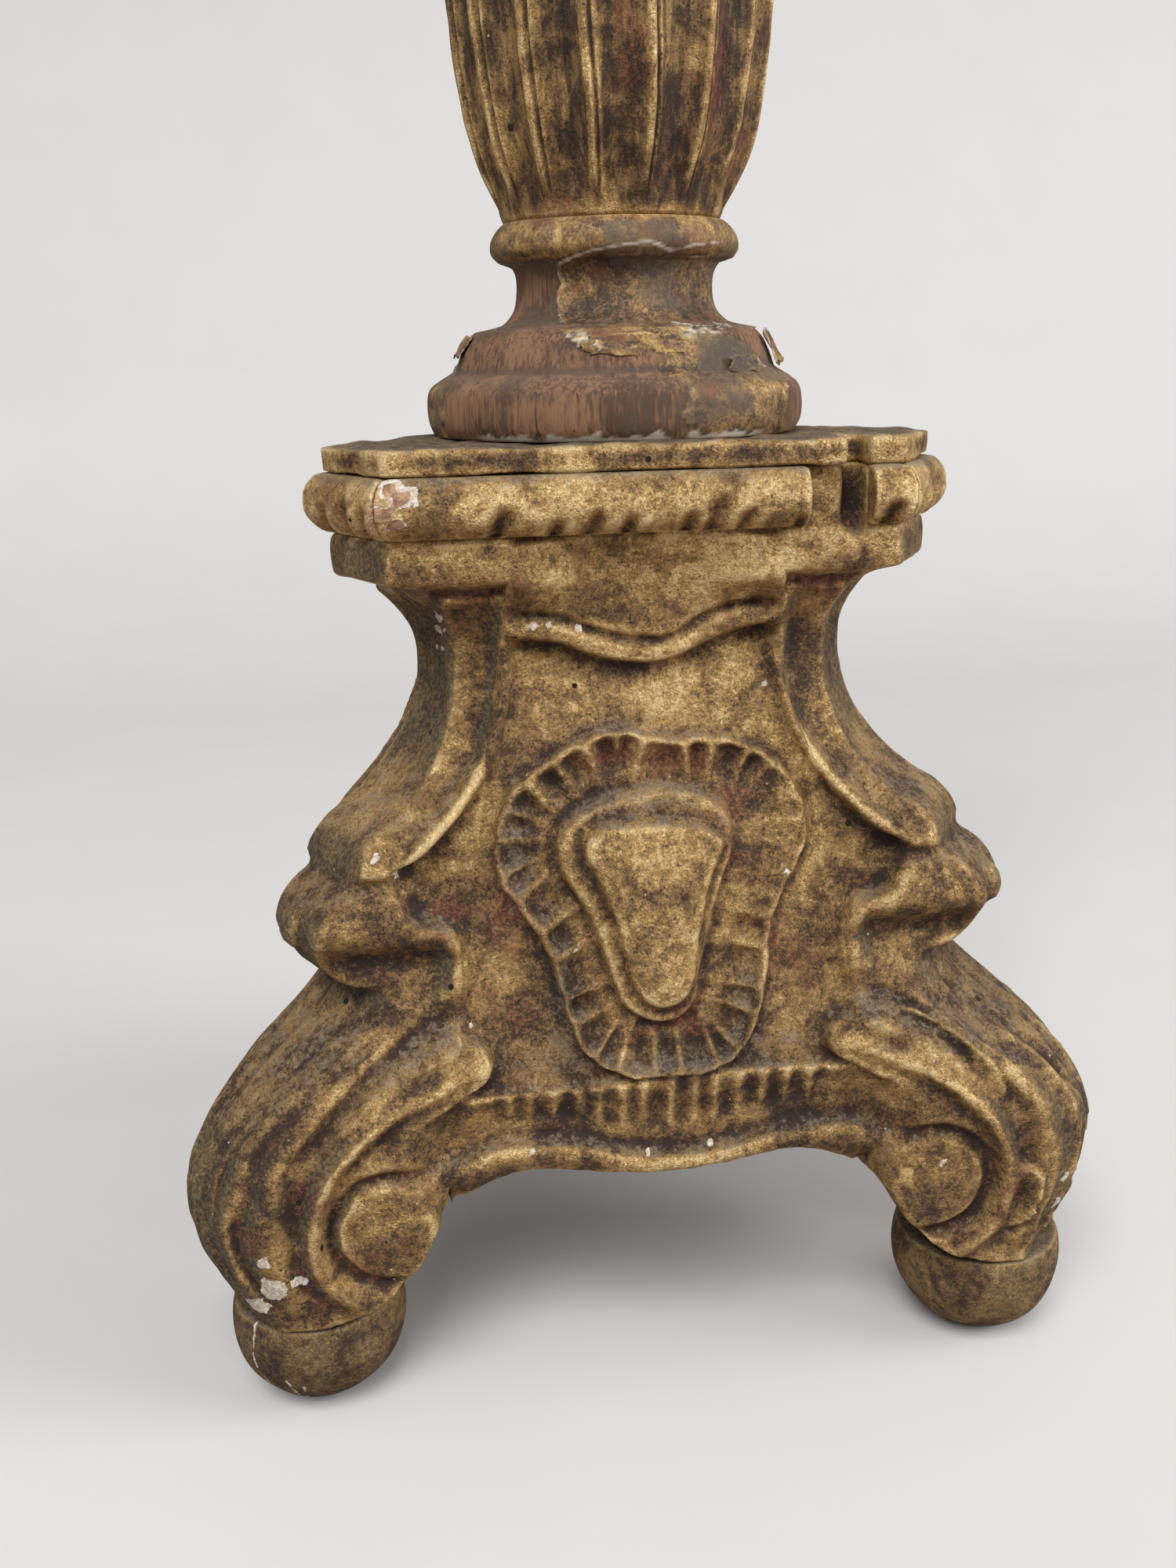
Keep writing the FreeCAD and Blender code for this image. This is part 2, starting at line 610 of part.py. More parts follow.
def side_half():
    """Half the length of a side along the rebate, between its two mitres."""
    return f"((rebate_reach - {face('rebate')} / 2) / cos(30 deg))"


def side_cornice(label, angle):
    """Roll moulding along a side, mitred at both ends."""
    body = new_body(label, angle)
    section = trace(sketch_on(body, "XZ_Plane"), cornice_profile(face("rebate")))
    pad(body, section, f"2 * ({side_half()} + cornice_roll_out)", symmetric=True)
    mirrored(body, [mitre_cut(body, face("rebate"), side_half())])
    return body


def trim_cornice(body, start, finish):
    """Take a length off a side moulding, square to it."""
    inner = face("rebate")
    sketch = trace(sketch_on(body, "XY_Plane"), [
        (inner, start),
        (f"{inner} + cut_margin", start),
        (f"{inner} + cut_margin", finish),
        (inner, finish),
    ])
    body.Tip = pocket(body, sketch)


def hexagon(body, reach, side, height):
    """Sketch the six-sided plan of the base at a height."""
    half_corner = f"(({side}) - ({reach}) / 2) / cos(30 deg)"
    corners = []
    for angle in CORNERS.values():
        for hand in (-1, 1):
            swing = f"{hand} * {half_corner}"
            corners.append((
                f"({reach}) * cos({angle} deg) - ({swing}) * sin({angle} deg)",
                f"({reach}) * sin({angle} deg) + ({swing}) * cos({angle} deg)",
            ))
    return trace(sketch_on(body, "XY_Plane", shift=height), sorted(corners, key=turn_of))


def turn_of(place):
    """Angle of a plan point about the axis."""
    return math.atan2(value(place[1]), value(place[0]))


def top_board():
    """Board that closes the base and carries the stem."""
    body = new_body("top_board")
    pad(body, hexagon(body, "deck_reach", face("deck"), UNDERSIDE), "deck_thickness")
    bore = sketch_on(body, "XY_Plane", shift=DECK)
    circle(bore, "0", "0", "tenon_radius + bore_clearance")
    pocket(body, bore)
    slot = trace(sketch_on(body, "XY_Plane", shift=DECK), [
        ("slot_start", f"slot_depth - {face('fascia')}"),
        ("slot_start", f"-{face('deck')} - cut_margin"),
        ("slot_start + slot_width", f"-{face('deck')} - cut_margin"),
        ("slot_start + slot_width", f"slot_depth - {face('fascia')}"),
    ])
    pocket(body, slot)
    return body


def stem_block():
    """Block glued behind the panels, bored for the stem's tenon."""
    body = new_body("stem_block")
    height = f"{UNDERSIDE} - glue_line - block_height"
    pad(body, hexagon(body, "block_reach", "back_face - glue_line", height), "block_height")
    bore = sketch_on(body, "XY_Plane", shift=UNDERSIDE)
    circle(bore, "0", "0", "tenon_radius + bore_clearance")
    pocket(body, bore)
    return body


def ball_foot(place, angle):
    """Turned ball, flat where it stands and where it seats, with a tenon up into the scroll."""
    body = new_body(f"ball_foot_{place}", angle, out=BALL_REACH)
    top = f"{SEAT} - glue_line"
    tenon_top = f"{SEAT} + ball_tenon_length"
    turned(body, [
        ("0", "0"),
        ("ball_flat", "0"),
        ("sqrt(ball_radius ^ 2 - (ball_seat_rise - glue_line) ^ 2)", top, "ball_radius", BALL_CENTRE),
        ("ball_tenon_radius", top),
        ("ball_tenon_radius", tenon_top),
        ("0", tenon_top),
    ])
    return body


def pegged(label, ground, outline, peg="peg_radius", length="peg_length"):
    """Turned piece that stands on a ground height, with a peg down into the piece under it."""
    body = new_body(label)
    turned(body, [
        ("0", f"{ground} - {length}"),
        (peg, f"{ground} - {length}"),
        (peg, f"{ground} + glue_line"),
    ] + outline)
    return body


def socket(top, radius="peg_radius", length="peg_length"):
    """End of an outline: down into a blind hole, from a top height, and in to the axis."""
    floor = f"{top} - {length} - bore_clearance"
    return [
        (f"{radius} + bore_clearance", top),
        (f"{radius} + bore_clearance", floor),
        ("0", floor),
    ]


def at_level(heights, level):
    """Radius and height of a turned piece at one of its levels."""
    return (f"{level}_radius", heights[level])


def stem_socle():
    """Foot of the stem: torus, ogee, throat and ring, with a tenon down into the base."""
    outline = [
        ("torus_foot_radius", f"{DECK} + glue_line"),
        at_level(SOCLE, "torus_top") + at_level(SOCLE, "torus"),
        at_level(SOCLE, "shelf"),
        at_level(SOCLE, "ogee_top") + at_level(SOCLE, "ogee"),
        at_level(SOCLE, "throat_foot"),
        at_level(SOCLE, "throat_top") + at_level(SOCLE, "throat"),
        at_level(SOCLE, "ring_foot"),
        at_level(SOCLE, "socle_top") + at_level(SOCLE, "ring"),
    ]
    return pegged("stem_socle", DECK, outline + socket(SOCLE["socle_top"]), "tenon_radius", "tenon_length")


def fluted_vase():
    """Vase of the stem, with wide shallow flutes between narrow fillets."""
    foot = f"{SOCLE['socle_top']} + glue_line"
    outline = [
        ("vase_foot_radius", foot),
        at_level(VASE, "vase_wide") + at_level(VASE, "vase_bulge"),
        at_level(VASE, "vase_top") + at_level(VASE, "vase_shoulder"),
    ]
    body = pegged("fluted_vase", SOCLE["socle_top"], outline + socket(VASE["vase_top"]))

    # One flute through five sections, each drawn to the vase's girth at its height
    sections = []
    for girth, height in [("vase_foot_radius", foot)] + [at_level(VASE, level) for level in VASE]:
        share = f"({girth} / vase_wide_radius)"
        section = sketch_on(body, "XY_Plane", shift=height)
        circle(section, f"{girth} + (vase_flute_radius - vase_flute_depth) * {share}", "0",
               f"vase_flute_radius * {share}")
        sections.append(section)
    flute = feature(body, "SubtractiveLoft", sections[0])
    flute.Sections = sections[1:]
    doc.recompute()
    upright = next(item for item in body.Origin.OriginFeatures if item.Role == "Z_Axis")
    polar(body, [flute], (upright, [""]), "vase_flutes", "360")
    return body


def middle_knop():
    """Turned knop between the vase and the upper baluster."""
    outline = [
        ("knop_foot_radius", f"{VASE['vase_top']} + glue_line"),
        at_level(KNOP, "knop_foot"),
        at_level(KNOP, "knop_neck") + at_level(KNOP, "knop"),
        at_level(KNOP, "knop_top"),
    ]
    return pegged("middle_knop", VASE["vase_top"], outline + socket(KNOP["knop_top"]))


def upper_baluster():
    """Slender turned baluster under the dish."""
    outline = [
        ("baluster_foot_radius", f"{KNOP['knop_top']} + glue_line"),
        at_level(BALUSTER, "baluster_slim") + at_level(BALUSTER, "baluster_belly"),
        at_level(BALUSTER, "baluster_top") + at_level(BALUSTER, "baluster_ring"),
    ]
    return pegged("upper_baluster", KNOP["knop_top"], outline + socket(BALUSTER["baluster_top"]))


def candle_dish():
    """Turned wooden dish that carries the pan, bored for the spike."""
    outline = [
        ("dish_foot_radius", f"{BALUSTER['baluster_top']} + glue_line"),
        at_level(DISH, "dish_neck"),
        at_level(DISH, "dish_edge"),
        at_level(DISH, "dish_rim"),
        ("dish_rim_radius - dish_lip", DISH["dish_rim"]),
        ("dish_rim_radius - dish_floor_inset", DISH_FLOOR),
    ]
    return pegged("candle_dish", BALUSTER["baluster_top"],
                  outline + socket(DISH_FLOOR, "spike_radius", "spike_shank"))


def drip_pan():
    """Loose pan of sheet iron that lifts off over the spike."""
    body = new_body("drip_pan")
    under = DISH_FLOOR + " + pan_clearance"
    rim = "pan_floor_radius + pan_flare"
    turned(body, [
        ("spike_radius + spike_clearance", under),
        ("pan_floor_radius", under),
        (rim, under + " + pan_rim_rise"),
        (rim + " - pan_wall", under + " + pan_rim_rise"),
        ("pan_floor_radius - pan_wall", under + " + pan_wall"),
        ("spike_radius + spike_clearance", under + " + pan_wall"),
    ])
    return body


def pricket_spike():
    """Iron spike driven into the dish, on which the candle is pressed."""
    body = new_body("pricket_spike")
    turned(body, [
        ("0", DISH_FLOOR + " - spike_shank"),
        ("spike_radius", DISH_FLOOR + " - spike_shank"),
        ("spike_radius", DISH_FLOOR + " + spike_straight"),
        ("spike_tip_radius", DISH_FLOOR + " + spike_length"),
        ("0", DISH_FLOOR + " + spike_length"),
    ])
    return body


for place, angle in CORNERS.items():
    corner_scroll(place, angle)
    corner_cornice(place, angle)
    ball_foot(place, angle)
for place, angle in SIDES.items():
    side_panel(place, angle)
    cornice = side_cornice(f"cornice_{place}", angle)
    if place == "front":
        # The front moulding has lost a length, and a stub is left at its right-hand end
        reach_end = f"{side_half()} + cut_margin"
        trim_cornice(cornice, "front_cornice_end", reach_end)
        stub = side_cornice("cornice_front_stub", angle)
        trim_cornice(stub, "slot_start + slot_width", f"-({reach_end})")
top_board()
stem_block()
stem_socle()
fluted_vase()
middle_knop()
upper_baluster()
candle_dish()
drip_pan()
pricket_spike()
doc.recompute()

for item in doc.Objects:
    if "Invalid" in item.State or "Error" in item.State:
        raise RuntimeError(f"{item.Label} failed to recompute")
for body in nodes:
    if body.Shape.isNull() or not body.Shape.isValid():
        raise RuntimeError(f"{body.Label} has no valid shape")

os.makedirs("parts", exist_ok=True)
for body in nodes:
    body.Shape.exportStep(f"parts/{body.Label}.step")
    print(body.Label, len(body.Shape.Solids), round(body.Shape.Volume))
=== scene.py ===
# %% [markdown]
# A carved and gilded pricket candlestick.
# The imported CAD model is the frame: it fixes where every piece is and how big it is. This script gives
# the pieces their hand-carved surface and their aged gilding, and leaves every size alone.

# %% Load the frame
import bpy, bmesh, math
import numpy as np
from mathutils import Vector, Matrix


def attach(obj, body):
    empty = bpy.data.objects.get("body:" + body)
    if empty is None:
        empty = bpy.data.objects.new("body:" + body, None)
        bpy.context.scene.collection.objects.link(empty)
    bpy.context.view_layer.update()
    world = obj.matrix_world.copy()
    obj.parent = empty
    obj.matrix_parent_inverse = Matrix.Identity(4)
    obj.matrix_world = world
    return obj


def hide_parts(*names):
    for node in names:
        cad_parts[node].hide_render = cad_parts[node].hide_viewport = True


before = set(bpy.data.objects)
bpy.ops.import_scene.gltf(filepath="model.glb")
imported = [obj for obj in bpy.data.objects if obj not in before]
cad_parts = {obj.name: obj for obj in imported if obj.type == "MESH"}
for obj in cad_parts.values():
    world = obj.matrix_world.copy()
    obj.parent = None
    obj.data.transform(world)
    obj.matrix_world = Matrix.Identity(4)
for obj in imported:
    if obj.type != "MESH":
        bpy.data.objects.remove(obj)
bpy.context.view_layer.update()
MM = 0.001

# %% [markdown]
# The camera stands close, a little left of the middle and above the base, and looks slightly down.
# Its place was worked out from the corners of the cornice, the balls of the feet and the turned rings.
# It could be set by eye in the viewport, but numbers make every render match.

# %% Camera
CAMERA_PLACE = Vector((-0.05625, -0.38058, 0.25777))
CAMERA_YAW, CAMERA_PITCH, CAMERA_ROLL = (math.radians(a) for a in (7.068, 16.706, -1.221))
CAMERA_LENS = 33.35

ahead = Vector((math.sin(CAMERA_YAW) * math.cos(CAMERA_PITCH),
                math.cos(CAMERA_YAW) * math.cos(CAMERA_PITCH), -math.sin(CAMERA_PITCH)))
level_right = ahead.cross(Vector((0, 0, 1))).normalized()
level_up = level_right.cross(ahead)
right = level_right * math.cos(CAMERA_ROLL) + level_up * math.sin(CAMERA_ROLL)
up = level_up * math.cos(CAMERA_ROLL) - level_right * math.sin(CAMERA_ROLL)
turn = Matrix((right, up, -ahead)).transposed().to_4x4()

lens = bpy.data.cameras.new("camera")
lens.sensor_width = 36
lens.lens = CAMERA_LENS
lens.clip_start = 0.01
camera = bpy.data.objects.new("camera", lens)
camera.matrix_world = Matrix.Translation(CAMERA_PLACE) @ turn
bpy.context.scene.collection.objects.link(camera)
bpy.context.scene.camera = camera
print("camera looks along", [round(v, 3) for v in ahead])

# %% [markdown]
# Shapes are built in a bmesh, Blender's editable form of a mesh. This function makes an object of one and
# puts it into the scene.

# %% New objects
def new_object(name, work):
    """An object in the scene from a bmesh, which is used up."""
    bmesh.ops.recalc_face_normals(work, faces=work.faces[:])
    mesh = bpy.data.meshes.new(name)
    work.to_mesh(mesh)
    work.free()
    made = bpy.data.objects.new(name, mesh)
    bpy.context.scene.collection.objects.link(made)
    return made

# %% [markdown]
# Shader maths is easier to read as an expression than as a web of nodes. This class wraps one socket.
# Adding, multiplying and so on put Math nodes into the tree, and `node` adds any other node: its
# settings first, then values or wires for its sockets.

# %% Wires for shader maths
class Wire:
    def __init__(self, tree, socket=None):
        self.tree = tree
        self.socket = socket

    def node(self, kind, settings=None, sockets=None, out=0):
        made = self.tree.nodes.new("ShaderNode" + kind)
        for name, setting in (settings or {}).items():
            if name == "stops":
                ramp = made.color_ramp
                while len(ramp.elements) < len(setting):
                    ramp.elements.new(0.5)
                for element, (place, colour) in zip(ramp.elements, setting):
                    element.position = place
                    element.color = colour
            else:
                setattr(made, name, setting)
        for name, given in (sockets or {}).items():
            if isinstance(given, Wire):
                self.tree.links.new(given.socket, made.inputs[name])
            else:
                made.inputs[name].default_value = given
        return Wire(self.tree, made.outputs[out])

    def sum(self, operation, first, second=0.0, clamp=False):
        return self.node("Math", {"operation": operation, "use_clamp": clamp}, {0: first, 1: second})

    def __add__(self, other): return self.sum("ADD", self, other)
    def __radd__(self, other): return self.sum("ADD", other, self)
    def __sub__(self, other): return self.sum("SUBTRACT", self, other)
    def __rsub__(self, other): return self.sum("SUBTRACT", other, self)
    def __mul__(self, other): return self.sum("MULTIPLY", self, other)

    def clamp(self): return self.sum("ADD", self, 0.0, clamp=True)

    def step(self, low, high):
        """0 below low, 1 above high, and a smooth rise between."""
        return self.node("MapRange", {"interpolation_type": "SMOOTHSTEP"},
                         {"Value": self, "From Min": low, "From Max": high})

    def noise(self, scale, detail=4.0, rough=0.6, spread=0.0, stretch=None):
        """Cloudy noise on the piece's own coordinates, scale in spots per metre."""
        place = self.node("TexCoord", out="Object")
        if stretch:
            place = self.node("Mapping", None, {"Vector": place, "Scale": stretch})
        return self.node("TexNoise", None, {"Vector": place, "Scale": scale, "Detail": detail,
                                            "Roughness": rough, "Distortion": spread}, out="Fac")

    def cells(self, scale, feature="F1", seed_shift=0.0):
        """Distance in a net of cells, for pits, dots and cracks."""
        place = self.node("TexCoord", out="Object")
        place = self.node("Mapping", None, {"Vector": place, "Location": (seed_shift, seed_shift, 0)})
        return self.node("TexVoronoi", {"feature": feature}, {"Vector": place, "Scale": scale}, out="Distance")

    def painted(self, name):
        """A value painted on the piece's vertices."""
        return self.node("Attribute", {"attribute_name": name}, out="Fac")

    def over(self, mask, colour_under, colour_over):
        """Colour over colour through a mask."""
        return self.node("Mix", {"data_type": "RGBA"}, {0: mask, 6: colour_under, 7: colour_over}, out=2)


def srgb(red, green, blue):
    """A colour as a picture program writes it, made linear for the shader."""
    def linear(v):
        v = v / 255
        return v / 12.92 if v <= 0.04045 else ((v + 0.055) / 1.055) ** 2.4
    return (linear(red), linear(green), linear(blue), 1.0)


def new_material(name):
    material = bpy.data.materials.new(name)
    material.use_nodes = True
    tree = material.node_tree
    return material, Wire(tree), tree.nodes["Principled BSDF"]


def plug(wire, shader, name):
    wire.tree.links.new(wire.socket, shader.inputs[name])


def bumped(wire, shader, strength, distance, height):
    """Fine relief in the shading alone, distance in metres."""
    bump = wire.node("Bump", None, {"Strength": strength, "Distance": distance, "Height": height})
    plug(bump, shader, "Normal")

# %% [markdown]
# The floor is one pale plain sheet that curves up into a backdrop, so there is no line behind the piece.
# A large soft lamp above the front and a weaker one from the right give the shading; the world fills in.
# To the camera the sheet is pale, but the light it throws back up is that of a darker table top.

# %% Floor and light
FLOOR_COLOUR = srgb(216, 215, 213)
FLOOR_CLOUD = srgb(211, 210, 208)
FLOOR_BOUNCE = srgb(150, 138, 130)
FLOOR_WIDE = 6
FLOOR_CURVE = ((-3, 0), (0.7, 0), (1.0, 0.05), (1.2, 0.25), (1.3, 0.6), (1.3, 3))

sweep = bmesh.new()
rim = [sweep.verts.new((-FLOOR_WIDE / 2, y, z)) for y, z in FLOOR_CURVE]
for start, finish in zip(rim, rim[1:]):
    sweep.edges.new((start, finish))
made = bmesh.ops.extrude_edge_only(sweep, edges=sweep.edges[:])
far_edge = [v for v in made["geom"] if isinstance(v, bmesh.types.BMVert)]
bmesh.ops.translate(sweep, verts=far_edge, vec=(FLOOR_WIDE, 0, 0))
floor = new_object("floor", sweep)
for polygon in floor.data.polygons:
    polygon.use_smooth = True
paper, wire, shader = new_material("pale_paper")
seen = wire.node("LightPath", out="Is Camera Ray")
sheet = wire.over(wire.noise(14, 3), FLOOR_COLOUR, FLOOR_CLOUD)
plug(wire.over(seen, FLOOR_BOUNCE, sheet), shader, "Base Color")
shader.inputs["Roughness"].default_value = 0.85
floor.data.materials.append(paper)


def soft_lamp(name, place, aim, size, power):
    lamp = bpy.data.lights.new(name, "AREA")
    lamp.size = size
    lamp.energy = power
    holder = bpy.data.objects.new(name, lamp)
    holder.location = place
    holder.rotation_euler = (Vector(aim) - Vector(place)).to_track_quat("-Z", "Y").to_euler()
    bpy.context.scene.collection.objects.link(holder)


LAMP_AIM = (0, 0, 0.15)
LAMP_SIZE = 1.7
soft_lamp("front_window", (-0.75, -2.1, 2.85), LAMP_AIM, LAMP_SIZE, 98)
soft_lamp("right_window", (2.7, -0.95, 1.4), LAMP_AIM, LAMP_SIZE, 54)
world = bpy.data.worlds.new("room")
world.use_nodes = True
world.node_tree.nodes["Background"].inputs["Color"].default_value = (0.93, 0.96, 1.0, 1)
world.node_tree.nodes["Background"].inputs["Strength"].default_value = 0.42
bpy.context.scene.world = world
bpy.context.scene.view_settings.view_transform = "Standard"
print("stage ready")

# %% [markdown]
# Aged water gilding is leaf over red clay over white gesso. Where hands and cloths have rubbed, the leaf is
# bright or gone and the red clay shows. In hollows the leaf is painted darker, for brown grime and painted
# shade, and on ridges lighter, for rubbed edges and painted highlights. On ledges there is grey dust, and where
# the gesso has been knocked off there are white chips. On the canted faces an olive-grey layer is painted shade
# with dust, and on the balls it is tarnish. Each of these is a layer with its own mask. Most masks are painted
# on the vertices, from the shape itself, so that grime and painted shade lie in the carving.

# %% Aged gilding
LEAF = [(0.0, srgb(46, 30, 20)), (0.25, srgb(86, 63, 38)), (0.5, srgb(142, 112, 67)),
        (0.72, srgb(190, 155, 98)), (1.0, srgb(234, 206, 150))]
CLAY = srgb(142, 78, 54)
DUST = srgb(122, 111, 95)
GESSO = srgb(232, 225, 212)
# Olive-grey, for painted shade with dust on the canted faces and for tarnish on the balls
SHADE_AND_TARNISH = srgb(106, 96, 71)


def gilding(name, worth=0.5, clay=0.0, streaks=0.0, fine=1.0):
    """Aged gilding: worth is how much good leaf is left, clay how much of the red shows,
    streaks draws the wear out upright, fine is how strong its grain is."""
    material, wire, shader = new_material(name)
    hollow = wire.painted("hollow")
    clouds = wire.noise(78, 6, 0.66, 0.4).step(0.4, 0.6)
    mottle = wire.noise(330, 5, 0.7, stretch=(1, 1, 1 - 0.8 * streaks)).step(0.37, 0.63)
    grain = wire.noise(900, 4, 0.75, stretch=(1, 1, 1 - 0.5 * streaks)).step(0.42, 0.58)
    speckle = wire.noise(2100, 3, 0.6).step(0.43, 0.57)

    leaf = (wire.noise(26, 4, 0.6) - 0.5) * 0.7 + (clouds - 0.5) * 0.36 + (mottle - 0.5) * 0.26
    leaf = leaf + (grain - 0.5) * 0.17 * fine + (speckle - 0.5) * 0.13 * fine
    pits = wire.noise(1250, 3, 0.6, stretch=(1.1, 0.9, 1)).step(0.585, 0.64)
    glints = wire.noise(1600, 3, 0.6, stretch=(0.9, 1, 1.15)).step(0.58, 0.64)
    leaf = leaf + glints * 0.12 - pits * 0.26
    if streaks:
        leaf = leaf + (wire.noise(420, 4, 0.65, stretch=(1, 1, 0.08)).step(0.38, 0.62) - 0.5) * 0.2 * streaks
    # Ridges are painted lighter, for rubbed edges and painted highlights; hollows darker, for grime and painted
    # shade. The painted gold mark adds better or poorer leaf, and painted shade on the apron, under the valance
    # lip, below the knee and on the canted faces.
    leaf = (leaf + wire.painted("ridge") * 0.5 - hollow * 0.6 + wire.painted("gold") - 0.5 + worth).clamp()
    colour = wire.node("ValToRGB", {"stops": LEAF}, {0: leaf})

    # Olive-grey over the leaf: painted shade with dust on the canted faces, and tarnish on the balls.
    tarnish = (wire.painted("tarnish") * 0.9 + (clouds - 0.5) * 0.3).step(0.2, 0.8)
    colour = wire.over(tarnish * 0.72, colour, wire.over(grain, srgb(56, 47, 34), SHADE_AND_TARNISH))

    rubbed = wire.noise(85, 6, 0.72, 0.5) + (mottle - 0.5) * 0.14 + (speckle - 0.5) * 0.1
    rubbed = (rubbed + wire.painted("worn") * 0.5 + clay).step(0.6, 0.74)
    colour = wire.over(rubbed * 0.62, colour, wire.over(grain, srgb(84, 46, 31), CLAY))

    veil = (wire.painted("ledge") + (mottle - 0.5) * 0.5 + (grain - 0.5) * 0.3).step(0.26, 0.8)
    colour = wire.over(veil * 0.74, colour, wire.over(grain, srgb(90, 81, 68), DUST))

    worm = 1 - wire.cells(64, seed_shift=0.17).step(0.045, 0.058)
    colour = wire.over(worm, colour, srgb(22, 15, 10))
    flecks = (1 - wire.cells(190, seed_shift=0.31).step(0.04, 0.08)) * wire.noise(60, 3).step(0.56, 0.62)
    chip = (wire.painted("chip") * 1.25 + (grain - 0.5) * 0.3).step(0.35, 0.6)
    colour = wire.over((chip + flecks * 0.8).clamp(), colour, wire.over(grain, srgb(196, 176, 152), GESSO))
    timber = wire.painted("skin").step(0.4, 0.6)
    colour = wire.over(timber, colour, wire.over(mottle, srgb(140, 102, 74), srgb(198, 160, 124)))
    plug(colour, shader, "Base Color")

    bright = leaf.step(0.3, 0.75) * (1 - veil * 0.8) * (1 - chip) * (1 - timber)
    bright = bright * (1 - rubbed * 0.7) * (1 - tarnish * 0.6)
    plug(bright * 0.62, shader, "Metallic")
    plug(0.76 - bright * 0.36, shader, "Roughness")
    crackle = wire.cells(230, "DISTANCE_TO_EDGE").step(0.0, 0.03)
    height = mottle * 0.3 + grain * 0.24 + speckle * 0.12 - pits * 0.2
    height = height + crackle * 0.06 - worm * 1.5 + chip * 0.1
    bumped(wire, shader, 0.7, 0.0008, height)
    return material


gilt = gilding("aged_gilding")
gilt_stem = gilding("stem_gilding", worth=0.38, streaks=1.0, fine=0.6)
gilt_ball = gilding("ball_gilding", worth=0.36, clay=-0.1, fine=0.7)
gilt_board = gilding("board_gilding", worth=0.3)
print("gilding ready")

# %% [markdown]
# Where the gesso has flaked off the turned foot of the stem, the wood shows: orange-brown, with fine upright
# grain and dark drying cracks. The same wood, raw, is the block inside the base.

# %% Bare wood and the skin on it
WOOD_PALE = srgb(142, 106, 77)
WOOD_DEEP = srgb(84, 62, 47)


def wood_colour(wire):
    fibre = wire.noise(1100, 5, 0.7, stretch=(1, 1, 0.07))
    blush = wire.noise(55, 4, 0.6)
    colour = wire.over((fibre * 0.6 + blush * 0.5).step(0.46, 0.64), WOOD_DEEP, WOOD_PALE)
    crack = wire.noise(260, 3, 0.6, stretch=(1, 1, 0.05)).step(0.66, 0.7)
    return wire.over(crack * 0.75, colour, srgb(46, 28, 18)), fibre, crack


def flaking(name):
    """Gilded skin that has flaked off the wood; the vertices say where skin is left."""
    material, wire, shader = new_material(name)
    wood, fibre, crack = wood_colour(wire)
    skin = wire.painted("skin").step(0.4, 0.6)
    clouds = wire.noise(75, 5, 0.62)
    mottle = wire.noise(380, 6, 0.72)
    grain = wire.noise(1400, 4, 0.7)
    tone = (clouds.step(0.38, 0.62) - 0.5) * 0.3 + (mottle.step(0.4, 0.6) - 0.5) * 0.25
    tone = tone + (grain.step(0.42, 0.58) - 0.5) * 0.24
    # The leaf is painted lighter on ridges and darker in hollows: painted highlight, and painted shade with
    # grime.
    tone = (tone + wire.painted("ridge") * 0.4 - wire.painted("hollow") * 0.4 + 0.33).clamp()
    leaf = wire.node("ValToRGB", {"stops": LEAF}, {0: tone})
    leaf = wire.over((wire.noise(100, 5, 0.7) + mottle * 0.3).step(0.66, 0.8) * 0.7, leaf, srgb(112, 66, 46))
    leaf = wire.over(wire.noise(46, 4, 0.6).step(0.5, 0.6) * 0.6, leaf, srgb(84, 76, 64))
    # Greyer, darker wood in hollows and cloudy patches: grime, and painted shade in the hollows.
    grey = (clouds * 0.6 + wire.painted("hollow") * 0.7).step(0.3, 0.42) * 0.75
    wood = wire.over(grey, wood, wire.over(grain, srgb(62, 50, 41), srgb(104, 88, 74)))
    colour = wire.over(skin, wood, leaf)
    veil = (wire.painted("ledge") + mottle * 0.5 - 0.55).step(0.0, 0.5)
    colour = wire.over(veil * 0.6, colour, srgb(132, 118, 102))
    colour = wire.over(wire.painted("chip").clamp(), colour, srgb(214, 204, 188))
    plug(colour, shader, "Base Color")
    plug(skin * tone.step(0.4, 0.8) * (1 - veil) * 0.45, shader, "Metallic")
    plug(0.8 - skin * 0.22 + grain * 0.08, shader, "Roughness")
    height = (1 - skin) * (fibre * 0.8 - crack * 1.2) + skin * (mottle * 0.4 + grain * 0.4)
    bumped(wire, shader, 0.6, 0.0008, height)
    return material


def bare_wood(name):
    material, wire, shader = new_material(name)
    colour, fibre, crack = wood_colour(wire)
    plug(colour, shader, "Base Color")
    plug(0.7 + fibre * 0.15, shader, "Roughness")
    bumped(wire, shader, 0.5, 0.0006, fibre - crack)
    return material


flaked = flaking("flaked_gilding")
raw = bare_wood("raw_wood")
print("wood ready")

# %% [markdown]
# The spike and the loose pan are hand-forged iron: nearly black, with brown rust in patches and hammer marks.

# %% Forged iron
def forged_iron(name):
    material, wire, shader = new_material(name)
    clouds = wire.noise(90, 5, 0.65)
    grain = wire.noise(900, 5, 0.7)
    rust = (clouds + grain * 0.35).step(0.66, 0.84)
    colour = wire.over(grain, srgb(44, 42, 41), srgb(82, 78, 74))
    plug(wire.over(rust, colour, wire.over(grain, srgb(84, 48, 30), srgb(126, 76, 44))), shader, "Base Color")
    plug((1 - rust) * 0.85, shader, "Metallic")
    plug(0.42 + rust * 0.35 + grain * 0.12, shader, "Roughness")
    hammer = wire.cells(150).step(0.0, 0.7)
    bumped(wire, shader, 0.5, 0.0006, hammer * 0.6 + grain * 0.4 + rust * 0.3)
    return material


iron = forged_iron("forged_iron")
print("iron ready")

# %% [markdown]
# Carving starts from the CAD solid. A copy of the node's mesh is merged, then remeshed into even small
# cells, as a sculptor would before working on a block. After that a carver's stroke is a sum over the
# vertices: how far from the line of the stroke, how deep there.

